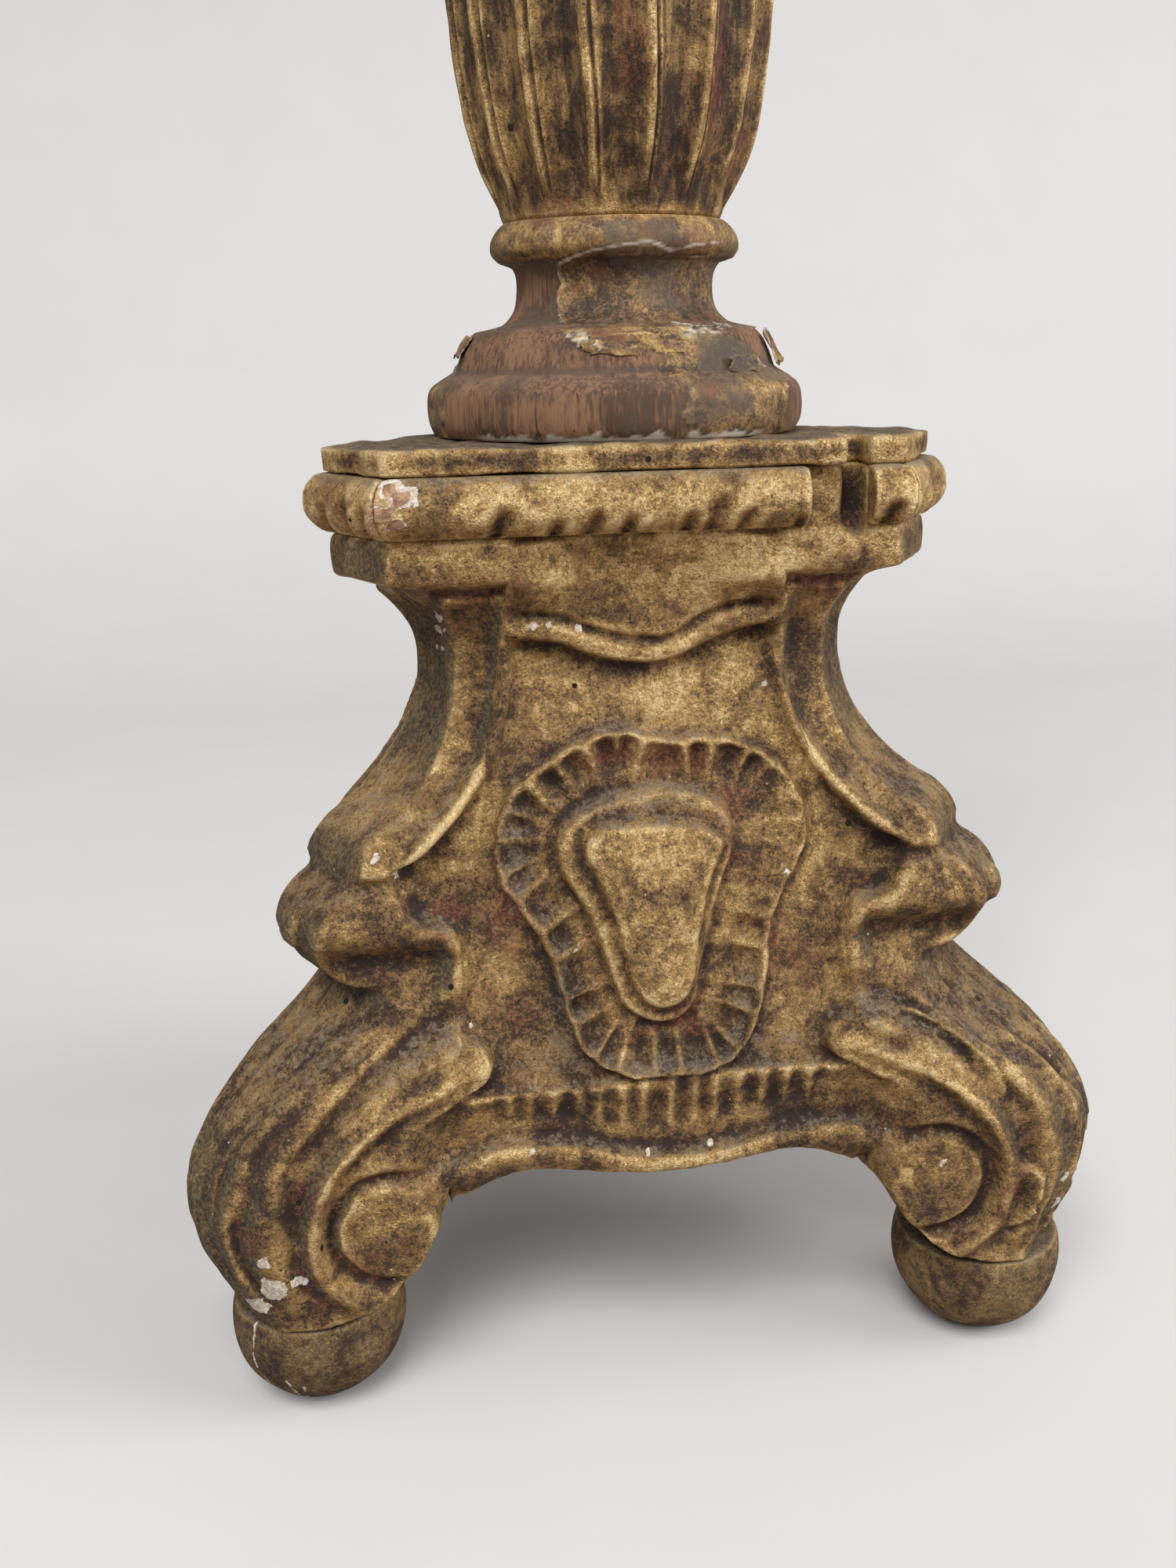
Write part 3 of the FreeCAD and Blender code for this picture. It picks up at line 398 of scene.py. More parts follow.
# %% Block for carving
def merged_copy(node):
    """The node's mesh with its loose triangles joined, as a new object at the origin."""
    work = bmesh.new()
    work.from_mesh(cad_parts[node].data)
    bmesh.ops.remove_doubles(work, verts=work.verts[:], dist=1e-6)
    return new_object(node + "_carved", work)


def remeshed(piece, cell):
    """Even cells all over the piece, cell in millimetres."""
    remesh = piece.modifiers.new("even", "REMESH")
    remesh.mode = "VOXEL"
    remesh.voxel_size = cell * MM
    settle(piece)


def settle(piece):
    """Apply the piece's modifiers to its mesh."""
    depsgraph = bpy.context.evaluated_depsgraph_get()
    mesh = bpy.data.meshes.new_from_object(piece.evaluated_get(depsgraph))
    piece.modifiers.clear()
    old = piece.data
    piece.data = mesh
    bpy.data.meshes.remove(old)
    mesh.name = piece.name


def places(piece):
    """Vertex places in millimetres and vertex normals."""
    mesh = piece.data
    spots = np.empty(len(mesh.vertices) * 3)
    normals = np.empty(len(mesh.vertices) * 3)
    mesh.vertices.foreach_get("co", spots)
    mesh.vertex_normals.foreach_get("vector", normals)
    return spots.reshape(-1, 3) / MM, normals.reshape(-1, 3)


def put_back(piece, spots):
    piece.data.vertices.foreach_set("co", (spots * MM).ravel())
    piece.data.update()


def edges_of(piece):
    pairs = np.empty(len(piece.data.edges) * 2, np.int64)
    piece.data.edges.foreach_get("vertices", pairs)
    return pairs.reshape(-1, 2)


def smoothed(values, pairs, rounds, share=0.5):
    """Move each vertex's values towards the mean of its neighbours."""
    count = len(values)
    degree = np.maximum(np.bincount(pairs.ravel(), minlength=count), 1)[:, None]
    values = values.reshape(count, -1)
    for _ in range(rounds):
        total = np.empty_like(values)
        for column in range(values.shape[1]):
            data = values[:, column]
            total[:, column] = (np.bincount(pairs[:, 0], data[pairs[:, 1]], count)
                                + np.bincount(pairs[:, 1], data[pairs[:, 0]], count))
        values = values * (1 - share) + total / degree * share
    return values


def ease(low, high, value):
    """0 below low, 1 above high, smooth between."""
    t = np.clip((value - low) / (high - low), 0, 1)
    return t * t * (3 - 2 * t)


def lumps(spots, size, seed):
    """Gentle unevenness of hand work: a few sine waves in seeded directions, about -1 to 1."""
    rng = np.random.default_rng(seed)
    total = np.zeros(len(spots))
    for _ in range(9):
        direction = rng.normal(size=3)
        direction /= np.linalg.norm(direction)
        total += np.sin(spots @ direction * 2 * math.pi / (size * rng.uniform(0.6, 1.5)) + rng.uniform(0, 6.3))
    return total / 4


def uneven(spots, normals, *waves):
    """Places moved along their normals by lumps, each given by its size, seed and height."""
    return spots + sum(lumps(spots, size, seed) * height for size, seed, height in waves)[:, None] * normals


def paint(piece, name, values):
    layer = piece.data.attributes.get(name) or piece.data.attributes.new(name, "FLOAT", "POINT")
    layer.data.foreach_set("value", np.asarray(values, np.float32).ravel())


def age(piece, dust=1.0, **marks):
    """Paint hollow, ridge and ledge from the shape: how deep, how proud, how level.
    Other marks are painted as given, and plain is how much of hollow and ridge stays."""
    spots, normals = places(piece)
    plain = marks.get("plain", np.ones(len(spots)))
    pairs = edges_of(piece)
    near = smoothed(spots, pairs, 6)
    far = smoothed(near, pairs, 60)
    small = np.einsum("ij,ij->i", near - spots, normals)
    broad = np.einsum("ij,ij->i", far - spots, normals)
    hollow = np.clip(small * 2.0 - 0.06, 0, 0.6) + np.clip(broad * 0.42 - 0.04, 0, 0.8)
    ridge = np.clip(-small * 4.6 - 0.1, 0, 1) + np.clip(-broad * 0.22, 0, 0.4)
    level = ease(0.45, 0.9, normals[:, 2])
    paint(piece, "hollow", smoothed(np.clip(hollow, 0, 1) * plain, pairs, 2))
    paint(piece, "ridge", smoothed(np.clip(ridge, 0, 1) * plain, pairs, 1))
    paint(piece, "ledge", smoothed(level * dust * 0.8 + marks.get("dusty", 0), pairs, 3))
    paint(piece, "gold", 0.5 + marks.get("gold", np.zeros(len(spots))))
    for name in ("chip", "tarnish", "worn", "skin"):
        paint(piece, name, marks.get(name, np.zeros(len(spots))))


def finish_piece(piece, node, material, body="stick"):
    piece.data.materials.clear()
    piece.data.materials.append(material)
    for polygon in piece.data.polygons:
        polygon.use_smooth = True
    if node:
        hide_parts(node)
    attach(piece, body)
    print(piece.name, len(piece.data.polygons), "faces")

# %% [markdown]
# Each of the three sides is carved as one relief: a depth for every place on it, measured out from the
# stem's axis. s runs along the side, z is height. Smooth curves through a few points give the edges.

# %% Relief of a side
def curve(points, across):
    """Smooth line through (across, value) points, for places beyond the ends held level."""
    points = sorted(points)
    xs = np.array([p[0] for p in points], float)
    ys = np.array([p[1] for p in points], float)
    slopes = np.gradient(ys, xs)
    across = np.clip(across, xs[0], xs[-1])
    index = np.clip(np.searchsorted(xs, across, side="right") - 1, 0, len(xs) - 2)
    width = xs[index + 1] - xs[index]
    t = (across - xs[index]) / width
    return ((2 * t**3 - 3 * t**2 + 1) * ys[index] + (t**3 - 2 * t**2 + t) * width * slopes[index]
            + (3 * t**2 - 2 * t**3) * ys[index + 1] + (t**3 - t**2) * width * slopes[index + 1])


def rounded_path(points, steps=6, closed=False):
    """Points of a smooth curve through the given points."""
    points = np.array(points, float)
    count = len(points)
    out = []
    for i in range(count if closed else count - 1):
        a = points[(i - 1) % count] if closed or i > 0 else points[0]
        b = points[i]
        c = points[(i + 1) % count]
        d = points[(i + 2) % count] if closed or i + 2 < count else points[-1]
        for t in np.arange(steps) / steps:
            out.append(0.5 * (2 * b + (c - a) * t + (2 * a - 5 * b + 4 * c - d) * t**2
                              + (3 * b - a - 3 * c + d) * t**3))
    if not closed:
        out.append(points[-1])
    return np.array(out)


def along_path(path, s, z, closed=False):
    """Distance to a path, run along it to the nearest point, and the path's whole length."""
    ends = np.roll(path, -1, axis=0) if closed else path[1:]
    starts = path if closed else path[:-1]
    best = np.full(len(s), 1e9)
    run = np.zeros(len(s))
    walked = 0.0
    for a, b in zip(starts[:, :2], ends[:, :2]):
        step = b - a
        length = math.hypot(*step)
        t = np.clip(((s - a[0]) * step[0] + (z - a[1]) * step[1]) / length**2, 0, 1)
        gap = np.hypot(s - a[0] - t * step[0], z - a[1] - t * step[1])
        closer = gap < best
        best = np.where(closer, gap, best)
        run = np.where(closer, walked + t * length, run)
        walked += length
    return best, run, walked


def inside(path, s, z):
    """Whether each place is inside a closed path."""
    hit = np.zeros(len(s), bool)
    for a, b in zip(path, np.roll(path, -1, axis=0)):
        cross = (a[1] > z) != (b[1] > z)
        if a[1] != b[1]:
            hit ^= cross & (s < (b[0] - a[0]) * (z - a[1]) / (b[1] - a[1]) + a[0])
    return hit


def depth_inside(path, s, z):
    """Distance in from a closed path, negative outside, the run along it and its whole length."""
    gap, run, total = along_path(path, s, z, closed=True)
    return np.where(inside(path, s, z), gap, -gap), run, total


def stroke(points, s, z):
    """A carver's stroke: points of (s, z, half width, height); returns the height it adds."""
    path = rounded_path(points)
    gap, run, _ = along_path(path, s, z)
    lengths = np.concatenate([[0], np.cumsum(np.hypot(*np.diff(path[:, :2], axis=0).T))])
    width = np.interp(run, lengths, path[:, 2])
    height = np.interp(run, lengths, path[:, 3])
    t = np.clip(gap / width, 0, 1)
    return height * (1 - t * t) ** 2


FIELD_FOOT, FIELD_TOP = (87, 62.0), (190, 37.5)


def field_depth(z):
    rise = (z - FIELD_FOOT[0]) / (FIELD_TOP[0] - FIELD_FOOT[0])
    return FIELD_FOOT[1] + (FIELD_TOP[1] - FIELD_FOOT[1]) * rise


VALANCE_TOP = [(-36, 198), (-31, 198), (-20, 196.5), (-10, 192.5), (0, 190.5), (6, 191), (15, 196), (25, 199),
               (36, 198)]
VALANCE_EDGE = [(-36, 193), (-30, 192), (-20, 190.3), (-12, 187), (-5, 185.5), (3, 185.2), (10, 187),
                (18, 190.5), (28, 193), (36, 193)]
CARTOUCHE = rounded_path([
    (-8, 169.5), (-17, 167), (-26, 162), (-33, 157), (-37, 150), (-38.5, 143), (-37.5, 136), (-34, 130),
    (-29, 123), (-26.5, 117), (-24.5, 110), (-23, 103), (-20, 95), (-15, 90), (-8, 86.8), (0, 86),
    (8, 86.3), (15, 88), (20, 91.5), (24, 98), (26, 105), (27, 112), (28, 120), (31, 128), (36, 136),
    (38.5, 142), (38, 150), (34, 157), (29, 162), (22, 165.5), (14, 167), (6, 166.5), (0, 168)], 3, True)
BOSS = rounded_path([
    (-2, 156), (-12, 154), (-20, 150), (-24, 144), (-23.5, 137), (-20, 131), (-17, 126), (-14.5, 118),
    (-12, 110), (-10, 104), (-6, 100.5), (0, 98.5), (6, 100), (10, 105), (12, 115), (15, 125), (18, 133),
    (20.5, 140), (20, 148), (16, 153), (8, 156)], 3, True)
PLATEAU = rounded_path([
    (-16, 146), (-10, 148.5), (0, 148.5), (8, 148), (14, 146), (17.5, 142.5), (14, 135), (12, 128),
    (10, 120), (9, 112), (7, 107), (2, 104), (-3, 105), (-7, 110), (-9, 118), (-11, 127), (-14, 135),
    (-17, 141)], 3, True)
SCALLOPS = 31
DENTS = ((-14.5, 138), (-8, 140), (6, 131))


def cartouche_relief(s, z):
    """Height of the scalloped cartouche and its boss over the flat field."""
    deep, run, total = depth_inside(CARTOUCHE, s, z)
    wear = 1 - 0.6 * ease(12, 24, s) * ease(118, 128, z) * (1 - ease(152, 160, z))
    part = (run / total * SCALLOPS + 0.12 * np.sin(run * 0.37)) % 1.0
    scoop = 1 - np.abs(2 * part - 1) ** 2.4
    rim = ease(-0.7, 0.5, deep + 0.5 * (scoop - 0.6)) * (4.3 - 2.9 * ease(2.0, 10.5, deep))
    cut = 3.4 * wear * scoop * ease(0.4, 2.6, deep) * (1 - 0.7 * ease(5.5, 11, deep))
    ring = np.maximum(rim - cut, -0.5 * ease(0, 2, deep))
    boss_in = depth_inside(BOSS, s, z)[0]
    top_in = depth_inside(PLATEAU, s, z)[0]
    groove = -1.0 * np.exp(-((boss_in + 0.7) / 1.2) ** 2) * ease(0, 2, deep)
    boss = 4.4 * ease(-0.5, 2.2, boss_in) + 0.5 * ease(2, 7, boss_in)
    plateau = 3.0 * ease(-0.5, 1.3, top_in) + 1.2 * ease(0.5, 9, top_in)
    plateau = plateau - 0.9 * np.exp(-((top_in + 1.4) / 1.1) ** 2)
    dents = sum(0.9 * np.exp(-((s - a) ** 2 + (z - b) ** 2) / 2.0) for a, b in DENTS)
    raised = boss + plateau - dents * (top_in > 0)
    return np.where(deep > -0.8, ring + (raised - ring) * ease(-0.6, 0.8, boss_in) + groove, 0)


APRON_TOP = [(-60, 84.5), (-41, 84.5), (-10, 84.8), (0, 85.2), (20, 86), (39, 86), (60, 86)]
APRON_LIP = [(-58, 66), (-50, 68), (-40, 71), (-30, 71), (-20, 70), (-12, 67), (-5, 65.5), (3, 65), (10, 65.3),
             (20, 67), (30, 69.5), (40, 70), (48, 69.5), (58, 66)]
APRON_RIDGES = (-38, -33, -27, -21, -16, -10, -5, 2, 8, 13, 19, 25, 31, 37)


def panel_depth(s, z):
    """Depth of the board between the scrolls: frieze, valance, field, cartouche and apron."""
    field = field_depth(z)
    top = curve(VALANCE_TOP, s)
    edge = curve(VALANCE_EDGE, s)
    flare = ease(9, 31, np.abs(s)) * ease(197, 207, z)
    frieze = 43.2 + 5.0 * np.clip((z - 197) / 20, 0, 1.2) ** 1.7
    frieze = frieze + (50.1 - frieze) * flare
    lip = 43.6 - 1.0 * ((z - (top + edge) / 2) / 4) ** 2
    hung = np.where(z > top, frieze, lip) - 2.4 * np.exp(-((z - top) / 1.0) ** 2)
    depth = field + (hung - field) * ease(-1.0, 0.6, z - edge)
    depth = depth + cartouche_relief(s, z) * ease(85.5, 87, z)
    shelf = curve(APRON_TOP, s)
    foot = curve(APRON_LIP, s)
    nearest = np.min([np.abs(s - r) for r in APRON_RIDGES], axis=0)
    gouge = 1.5 * (1 - np.exp(-(nearest / 1.3) ** 2)) * ease(0, 3, z - foot - 4) * (1 - ease(38, 44, np.abs(s)))
    share = np.clip((z - foot) / (shelf - foot), 0, 1)
    band = 62.6 + 3.0 * share**1.6 - gouge * ease(0.2, 0.5, share)
    lip_roll = 67.3 - 0.06 * (z - foot + 2) ** 2 * (z < foot - 2) - 0.7 * ease(-1.5, 0.5, z - foot)
    low = band + (lip_roll - band) * (1 - ease(-0.6, 1.6, z - foot))
    return low + (depth - low) * ease(-0.4, 0.7, z - shelf)


FLANK = [(28, 72.5), (68, 72.5), (75, 71.2), (82, 69.3), (88, 67), (94.5, 64), (102.5, 59.8), (108, 58),
         (113, 56.2), (117, 54.4), (119.5, 55.2), (122, 58), (126, 60), (131, 59.4), (135, 57.2), (137.3, 54.6),
         (139, 56.4), (143, 56), (147, 53.6), (150.5, 50.8), (158, 45), (167, 39.8), (177, 37), (187, 36.6),
         (192, 37.8), (196, 39.8), (200, 43.2), (203, 46.6), (206, 49), (209, 50), (217, 50.27)]
INNER_EDGE = [(58, 56), (70, 57.5), (78, 56), (82, 54), (86, 48.5), (88, 44), (91, 41.5), (94, 41.3), (97, 43),
              (100, 48), (102, 49), (108, 46.4), (114, 45.4), (120, 46.2), (124, 48.6), (126, 51), (128, 57),
              (132, 60), (136, 62), (139, 63.5), (143, 56), (150, 48), (158, 41), (168, 35), (180, 31.5),
              (195, 32.5), (217, 33)]
KNEE_FOOT = (106, 112)
VOLUTE = (68.2, 54.2)
VOLUTE_RADIUS = 11.8
CHANNEL_RADIUS = 14.3
CANTED = [(28, 118.5), (35, 121.5), (42, 124.8), (50, 128), (59, 129.6), (66, 129.4), (73, 127), (78, 123.4),
          (82.8, 119), (90, 109.6), (95, 101.4), (103, 90.5), (108, 86.8), (114, 86), (121, 90)]
# Sine of the 60 degrees between a side and its corner
CORNER_SINE = 0.866
SCROLL_STROKES = {
    "fillet": [(33, 207, 2, 0), (33.2, 200, 3.2, 3.4), (33.5, 190, 3.2, 5.0), (33.5, 180, 3.4, 6.0),
               (36.5, 169, 3.6, 6.6), (42.5, 159, 3.8, 5.8), (49.5, 151, 3.8, 4.0), (57, 144.5, 3.6, 2.6),
               (63.5, 140, 3.2, 1.8)],
    "border": [(47.6, 203, 2.2, 0.4), (47.6, 187, 2.4, 1.3), (48.6, 176, 2.4, 1.5), (52.6, 164, 2.6, 1.5),
               (59, 156, 2.6, 1.4), (66, 149, 2.4, 1.0)],
    "tongue": [(48.5, 124, 4.2, 2.6), (48.8, 117, 5.4, 4.4), (49.2, 111, 5.8, 3.4), (50, 105.5, 5, 0.6)],
    "leaf": [(42, 97, 4, 1.5), (49, 98, 5.5, 3), (58.5, 95, 6, 3.6), (69, 87, 6.2, 3.8), (78, 78.5, 5.6, 3.2),
             (84, 69, 4, 2), (86, 63.5, 3, 0.5)],
    "rim": [(44, 92.5, 3.4, 1.6), (49.5, 91.5, 3.6, 2.6), (57.5, 88.2, 3.6, 3), (65, 84.6, 3.4, 3),
            (72, 80.6, 3.2, 2.8), (80, 73, 3.2, 2.4), (85, 64, 3.2, 2.4), (87, 54, 3.2, 2.2),
            (84.5, 43, 3.4, 2), (78, 36, 3.8, 1.5), (70, 32, 3.8, 0.8)],
    "groove": [(52, 103, 3, -0.4), (58.5, 101, 3, -1.8), (69.8, 93.5, 3, -2.4), (77.6, 86.6, 3.2, -2.4),
               (86.9, 77.6, 3.2, -2), (90.8, 72.5, 3.2, -1.4), (92, 62, 3, -1.2), (92, 50, 3, -1),
               (88, 40, 3, -0.6)],
    "lobe": [(58, 110, 6, 0.2), (62.5, 103, 7, 1.4), (71.5, 95, 8, 2.4), (79.5, 90, 8.5, 2.8),
             (87, 82.8, 8.5, 3.2), (93.5, 73, 8.5, 3.2), (96, 65.5, 8.5, 3), (97, 59, 8.5, 2.6),
             (96.5, 50, 8.5, 2), (91, 38, 7, 1)],
}


def scroll_relief(s, z):
    """Depth of the carved scroll beside the field, out to the corner; s is taken without its sign."""
    depth = curve(FLANK, z)
    for points in SCROLL_STROKES.values():
        depth = depth + stroke(points, s, z)
    corner = (curve(CANTED, z) - 0.5 * depth) / CORNER_SINE
    depth = depth - 2.6 * np.exp(-((s - corner) / 2.6) ** 2) * ease(32, 46, z) * (1 - ease(104, 114, z))
    below_knee = 1 - ease(*KNEE_FOOT, z)
    depth = np.minimum(depth, depth + (2 * (curve(CANTED, z) - CORNER_SINE * s) - depth) * below_knee)
    out, over = s - VOLUTE[0], z - VOLUTE[1]
    radius = np.hypot(out, over)
    angle = np.degrees(np.arctan2(over, out))
    turned = 1 - ease(95, 135, np.abs(angle - 10))
    disc = 72.0 + 0.6 * (1 - np.clip(radius / VOLUTE_RADIUS, 0, 1) ** 2)
    channel = 1 - ease(0, 1, np.abs(radius - CHANNEL_RADIUS) / 3.2)
    depth = depth - 3.6 * channel * turned
    return disc + (depth - disc) * ease(11.2, 12.8, radius)


def blots(s, z, spots):
    """Sum of soft blots, each (s, z, half width, half height, amount)."""
    return sum(amount * np.exp(-((s - a) / w) ** 2 - ((z - b) / h) ** 2) for a, b, w, h, amount in spots)


def side_depth(s, z):
    """Depth of a whole side, scrolls and board together."""
    away = np.abs(s)
    edge = curve(INNER_EDGE, z)
    slope = 0.9 + 5.6 * ease(54, 62, z) * (1 - ease(78, 85, z))
    board = panel_depth(s, z)
    return board + (scroll_relief(away, z) - board) * ease(-slope, slope, away - edge - 0.35 * (slope - 0.9))


print("relief of the front middle", round(float(side_depth(np.array([0.0]), np.array([125.0]))[0]), 2))

# %% [markdown]
# A side is carved by moving the vertices that face outwards to the relief's depth. A second remesh evens
# the cells that were stretched, and a little smoothing takes off the marks of the grid, as gesso would.

# %% Carve the boards
SIDE_ANGLES = {"front": 270, "left": 150, "right": 30}
CORNER_ANGLES = {"front_left": 210, "front_right": 330, "back": 90}
JOINT_HEIGHTS, JOINT_PLACES = (60, 206.5), (54, 30)
HAND_WORK = (26, 3, 0.25), (9, 4, 0.1)


def directions(angle):
    """Unit vectors out through a side and along it."""
    turn = math.radians(angle)
    return np.array([math.cos(turn), math.sin(turn), 0]), np.array([-math.sin(turn), math.cos(turn), 0])


def past_joint(across, z):
    """How far a place is past the joint of board and scroll, in millimetres."""
    return np.abs(across) - np.interp(z, JOINT_HEIGHTS, JOINT_PLACES)


def carve_side(spots, normals, pairs, angle, reach=9.0, facing=(0.25, 0.6), extra=0.0):
    """Move the vertices that face a side to the side's relief."""
    out, along = directions(angle)
    depth = spots @ out
    target = side_depth(spots @ along, spots[:, 2]) + extra
    weight = smoothed(ease(facing[0], facing[1], normals @ out), pairs, 3)
    return spots + np.clip(target - depth, -reach, reach)[:, None] * weight * out


PANEL_CELL = 0.75
CORNER_LIFT = 2.2
# Blots of better or poorer leaf, each (s, z, half width, half height, amount); the dark band at (-4, 183),
# under the valance lip, is a painted shadow.
PANEL_GOLD_AND_SHADOW = [(0, 176, 26, 11, 0.17), (0, 207, 30, 9, 0.24), (-35, 118, 9, 16, -0.05), (-40, 98, 12, 9, -0.16),
              (36, 104, 12, 14, -0.1), (-4, 183, 12, 2.5, -0.3), (38, 158, 8, 16, -0.08),
              (0, 199, 30, 3, -0.06)]
PANEL_WORN = [(-5, 163, 22, 5, 0.5), (20, 150, 6, 8, 0.5), (-36, 128, 5, 12, 0.4), (-29, 174, 4, 8, 0.35),
              (30, 122, 6, 14, 0.3), (-49, 126, 6, 6, 0.5), (6, 100, 8, 5, 0.4), (-40, 108, 10, 8, 0.2),
              (-30, 202, 8, 5, 0.4), (38, 112, 8, 12, 0.3)]
PANEL_DUSTY = [(-34, 140, 4, 16, 0.5), (-24, 106, 4, 18, 0.5), (0, 89, 24, 4, 0.5), (22, 102, 4, 12, 0.4),
               (0, 170, 30, 3, 0.3), (-2, 152, 20, 3, 0.5), (-32, 92, 12, 5, 0.4), (34, 92, 12, 5, 0.4),
               (-42, 120, 4, 10, 0.25)]
PANEL_DOTS = [(-26.6, 195.4, 0.9), (-22.9, 195.4, 0.7), (-15.8, 194, 0.8), (-33, 70, 0.7), (-4, 66, 0.5),
              (12, 66.5, 0.6), (-46, 101, 0.6), (30, 178, 0.5), (-20, 118, 0.4), (33, 134, 0.5)]


def dots(s, z, spots):
    """Small round chips, each (s, z, radius)."""
    return np.max([1 - ease(r * 0.7, r * 1.3, np.hypot(s - a, z - b)) for a, b, r in spots], axis=0)


for place, angle in SIDE_ANGLES.items():
    node = "panel_" + place
    piece = merged_copy(node)
    remeshed(piece, PANEL_CELL)
    out, along = directions(angle)
    spots, normals = places(piece)
    across = spots @ along
    tuck = ease(-1.6, -0.4, past_joint(across, spots[:, 2])) * np.sign(across) * 4 * ease(57, 62, spots[:, 2])
    put_back(piece, spots + tuck[:, None] * along)
    for _ in range(2):
        spots, normals = places(piece)
        z = spots[:, 2]
        front = (spots @ out > 33) & (z < 216)
        skin = 0.15 - np.where(z > 88, 1.3, 0.3) * ease(1.2, 3.6, past_joint(spots @ along, z))
        moved = carve_side(spots, normals, edges_of(piece), angle, extra=skin)
        spots = np.where(front[:, None], moved, spots)
        put_back(piece, smoothed(spots, edges_of(piece), 1, 0.4))
        remeshed(piece, PANEL_CELL)
    spots, normals = places(piece)
    spots = uneven(spots, normals, *HAND_WORK)
    lift = CORNER_LIFT * ease(-5, -0.5, past_joint(spots @ along, spots[:, 2]))
    spots[:, 2] += lift * (1 - ease(58, 66, spots[:, 2]))
    put_back(piece, smoothed(spots, edges_of(piece), 2, 0.5))
    spots = places(piece)[0]
    s, z = spots @ along, spots[:, 2]
    ring = ease(-1, 1, depth_inside(CARTOUCHE, s, z)[0]) * (1 - ease(-1, 1, depth_inside(BOSS, s, z)[0]))
    apron = 1 - ease(83, 86, z)
    # Painted shade in the gold mark: the apron and the board below z 73 are darker.
    gold = blots(s, z, PANEL_GOLD_AND_SHADOW) - 0.07 * ring - 0.12 * apron - 0.1 * (1 - ease(68, 73, z))
    plain = (1 - ease(-4, -1, past_joint(s, z))) * (1 - 0.35 * ring)
    age(piece, dust=0.6, gold=gold, worn=blots(s, z, PANEL_WORN), dusty=blots(s, z, PANEL_DUSTY),
        chip=dots(s, z, PANEL_DOTS), plain=plain)
    finish_piece(piece, node, gilt)

# %% [markdown]
# A corner scroll has two flanks, each part of a side's relief, and a canted face between them with three
# reeds down the foot, two lobes at the knee and a shallow hollow up the waist.

# %% Carve the corner scrolls
def canted_relief(t, z, half):
    """How far the canted face above the neck moves out, across it and by height."""
    across = np.clip(t / half, -1.2, 1.2)
    knee = ease(119, 124, z) * (1 - ease(134, 138, z))
    upper = ease(150, 162, z) * (1 - ease(198, 205, z))
    move = knee * (-3.4 * np.exp(-(t / 3.2) ** 2) - 2.5 * np.abs(across) ** 4 + 1.8)
    return move - upper * 1.3 * (1 - across**2)


def canted_reach(t, z):
    """Reach of the canted face below the knee: three reeds parted by two grooves."""
    middle = curve(CANTED, z)
    half = np.clip((curve(FLANK, z) - 0.5 * middle) / CORNER_SINE, 4, 16)
    groove = 2.3 * np.exp(-((np.abs(t) - 0.46 * half) / 1.5) ** 2) * ease(30, 46, z)
    return middle + 1.6 - 2.4 * np.clip(np.abs(t) / half, 0, 1.3) ** 2.4 - groove


SCROLL_CELL = 0.75
CANTED_HALF = [(119, 11), (125, 11), (139, 13.4), (150, 12.5), (167, 9.5), (187, 8.5), (206, 12), (230, 13)]
FLANK_TURNS = (60, -60)
HEEL = (28, 31)
CANTED_STEP, FLANK_STEP = 6, 7
# Places this far from the canted face are walls of the volute and are left alone
OTHER_WALL = (7, 11)
CORNICE_SEAT = 215
FOOT_IN = {"front_left": -1.2, "front_right": 3.0, "back": 0.0}
SCROLL_GOLD = [(62, 118, 22, 12, -0.14), (95, 70, 14, 30, -0.1), (72, 40, 16, 12, -0.1), (48, 204, 12, 5, -0.3),
               (66, 86, 14, 7, 0.14), (45, 160, 9, 14, 0.1), (36, 190, 6, 12, -0.05), (62, 72, 8, 8, -0.12)]
SCROLL_WORN = [(45, 204, 10, 5, 0.5), (52, 128, 8, 5, 0.45), (60, 66, 9, 8, 0.25), (78, 44, 12, 8, 0.3),
               (90, 60, 8, 14, 0.2)]
SCROLL_DUSTY = [(52, 100, 10, 5, 0.45), (66, 92, 14, 4, 0.3), (56, 62, 4, 9, 0.3), (78, 104, 12, 8, 0.25),
                (47, 108, 4, 8, 0.3)]
SCROLL_CHIPS = {"front_left": [(-96.8, 43, 3.2), (-90.2, 44.1, 1.4), (-98.5, 51, 2.0), (-101, 37, 2.6),
                               (-48.4, 193, 0.9), (-48.4, 197.5, 0.8), (-48.6, 188.5, 0.8), (-66.5, 144, 0.8),
                               (-62, 139, 0.8)],
                "front_right": [(101.5, 44, 1.2), (103, 52, 1.0), (70, 60, 0.8)]}
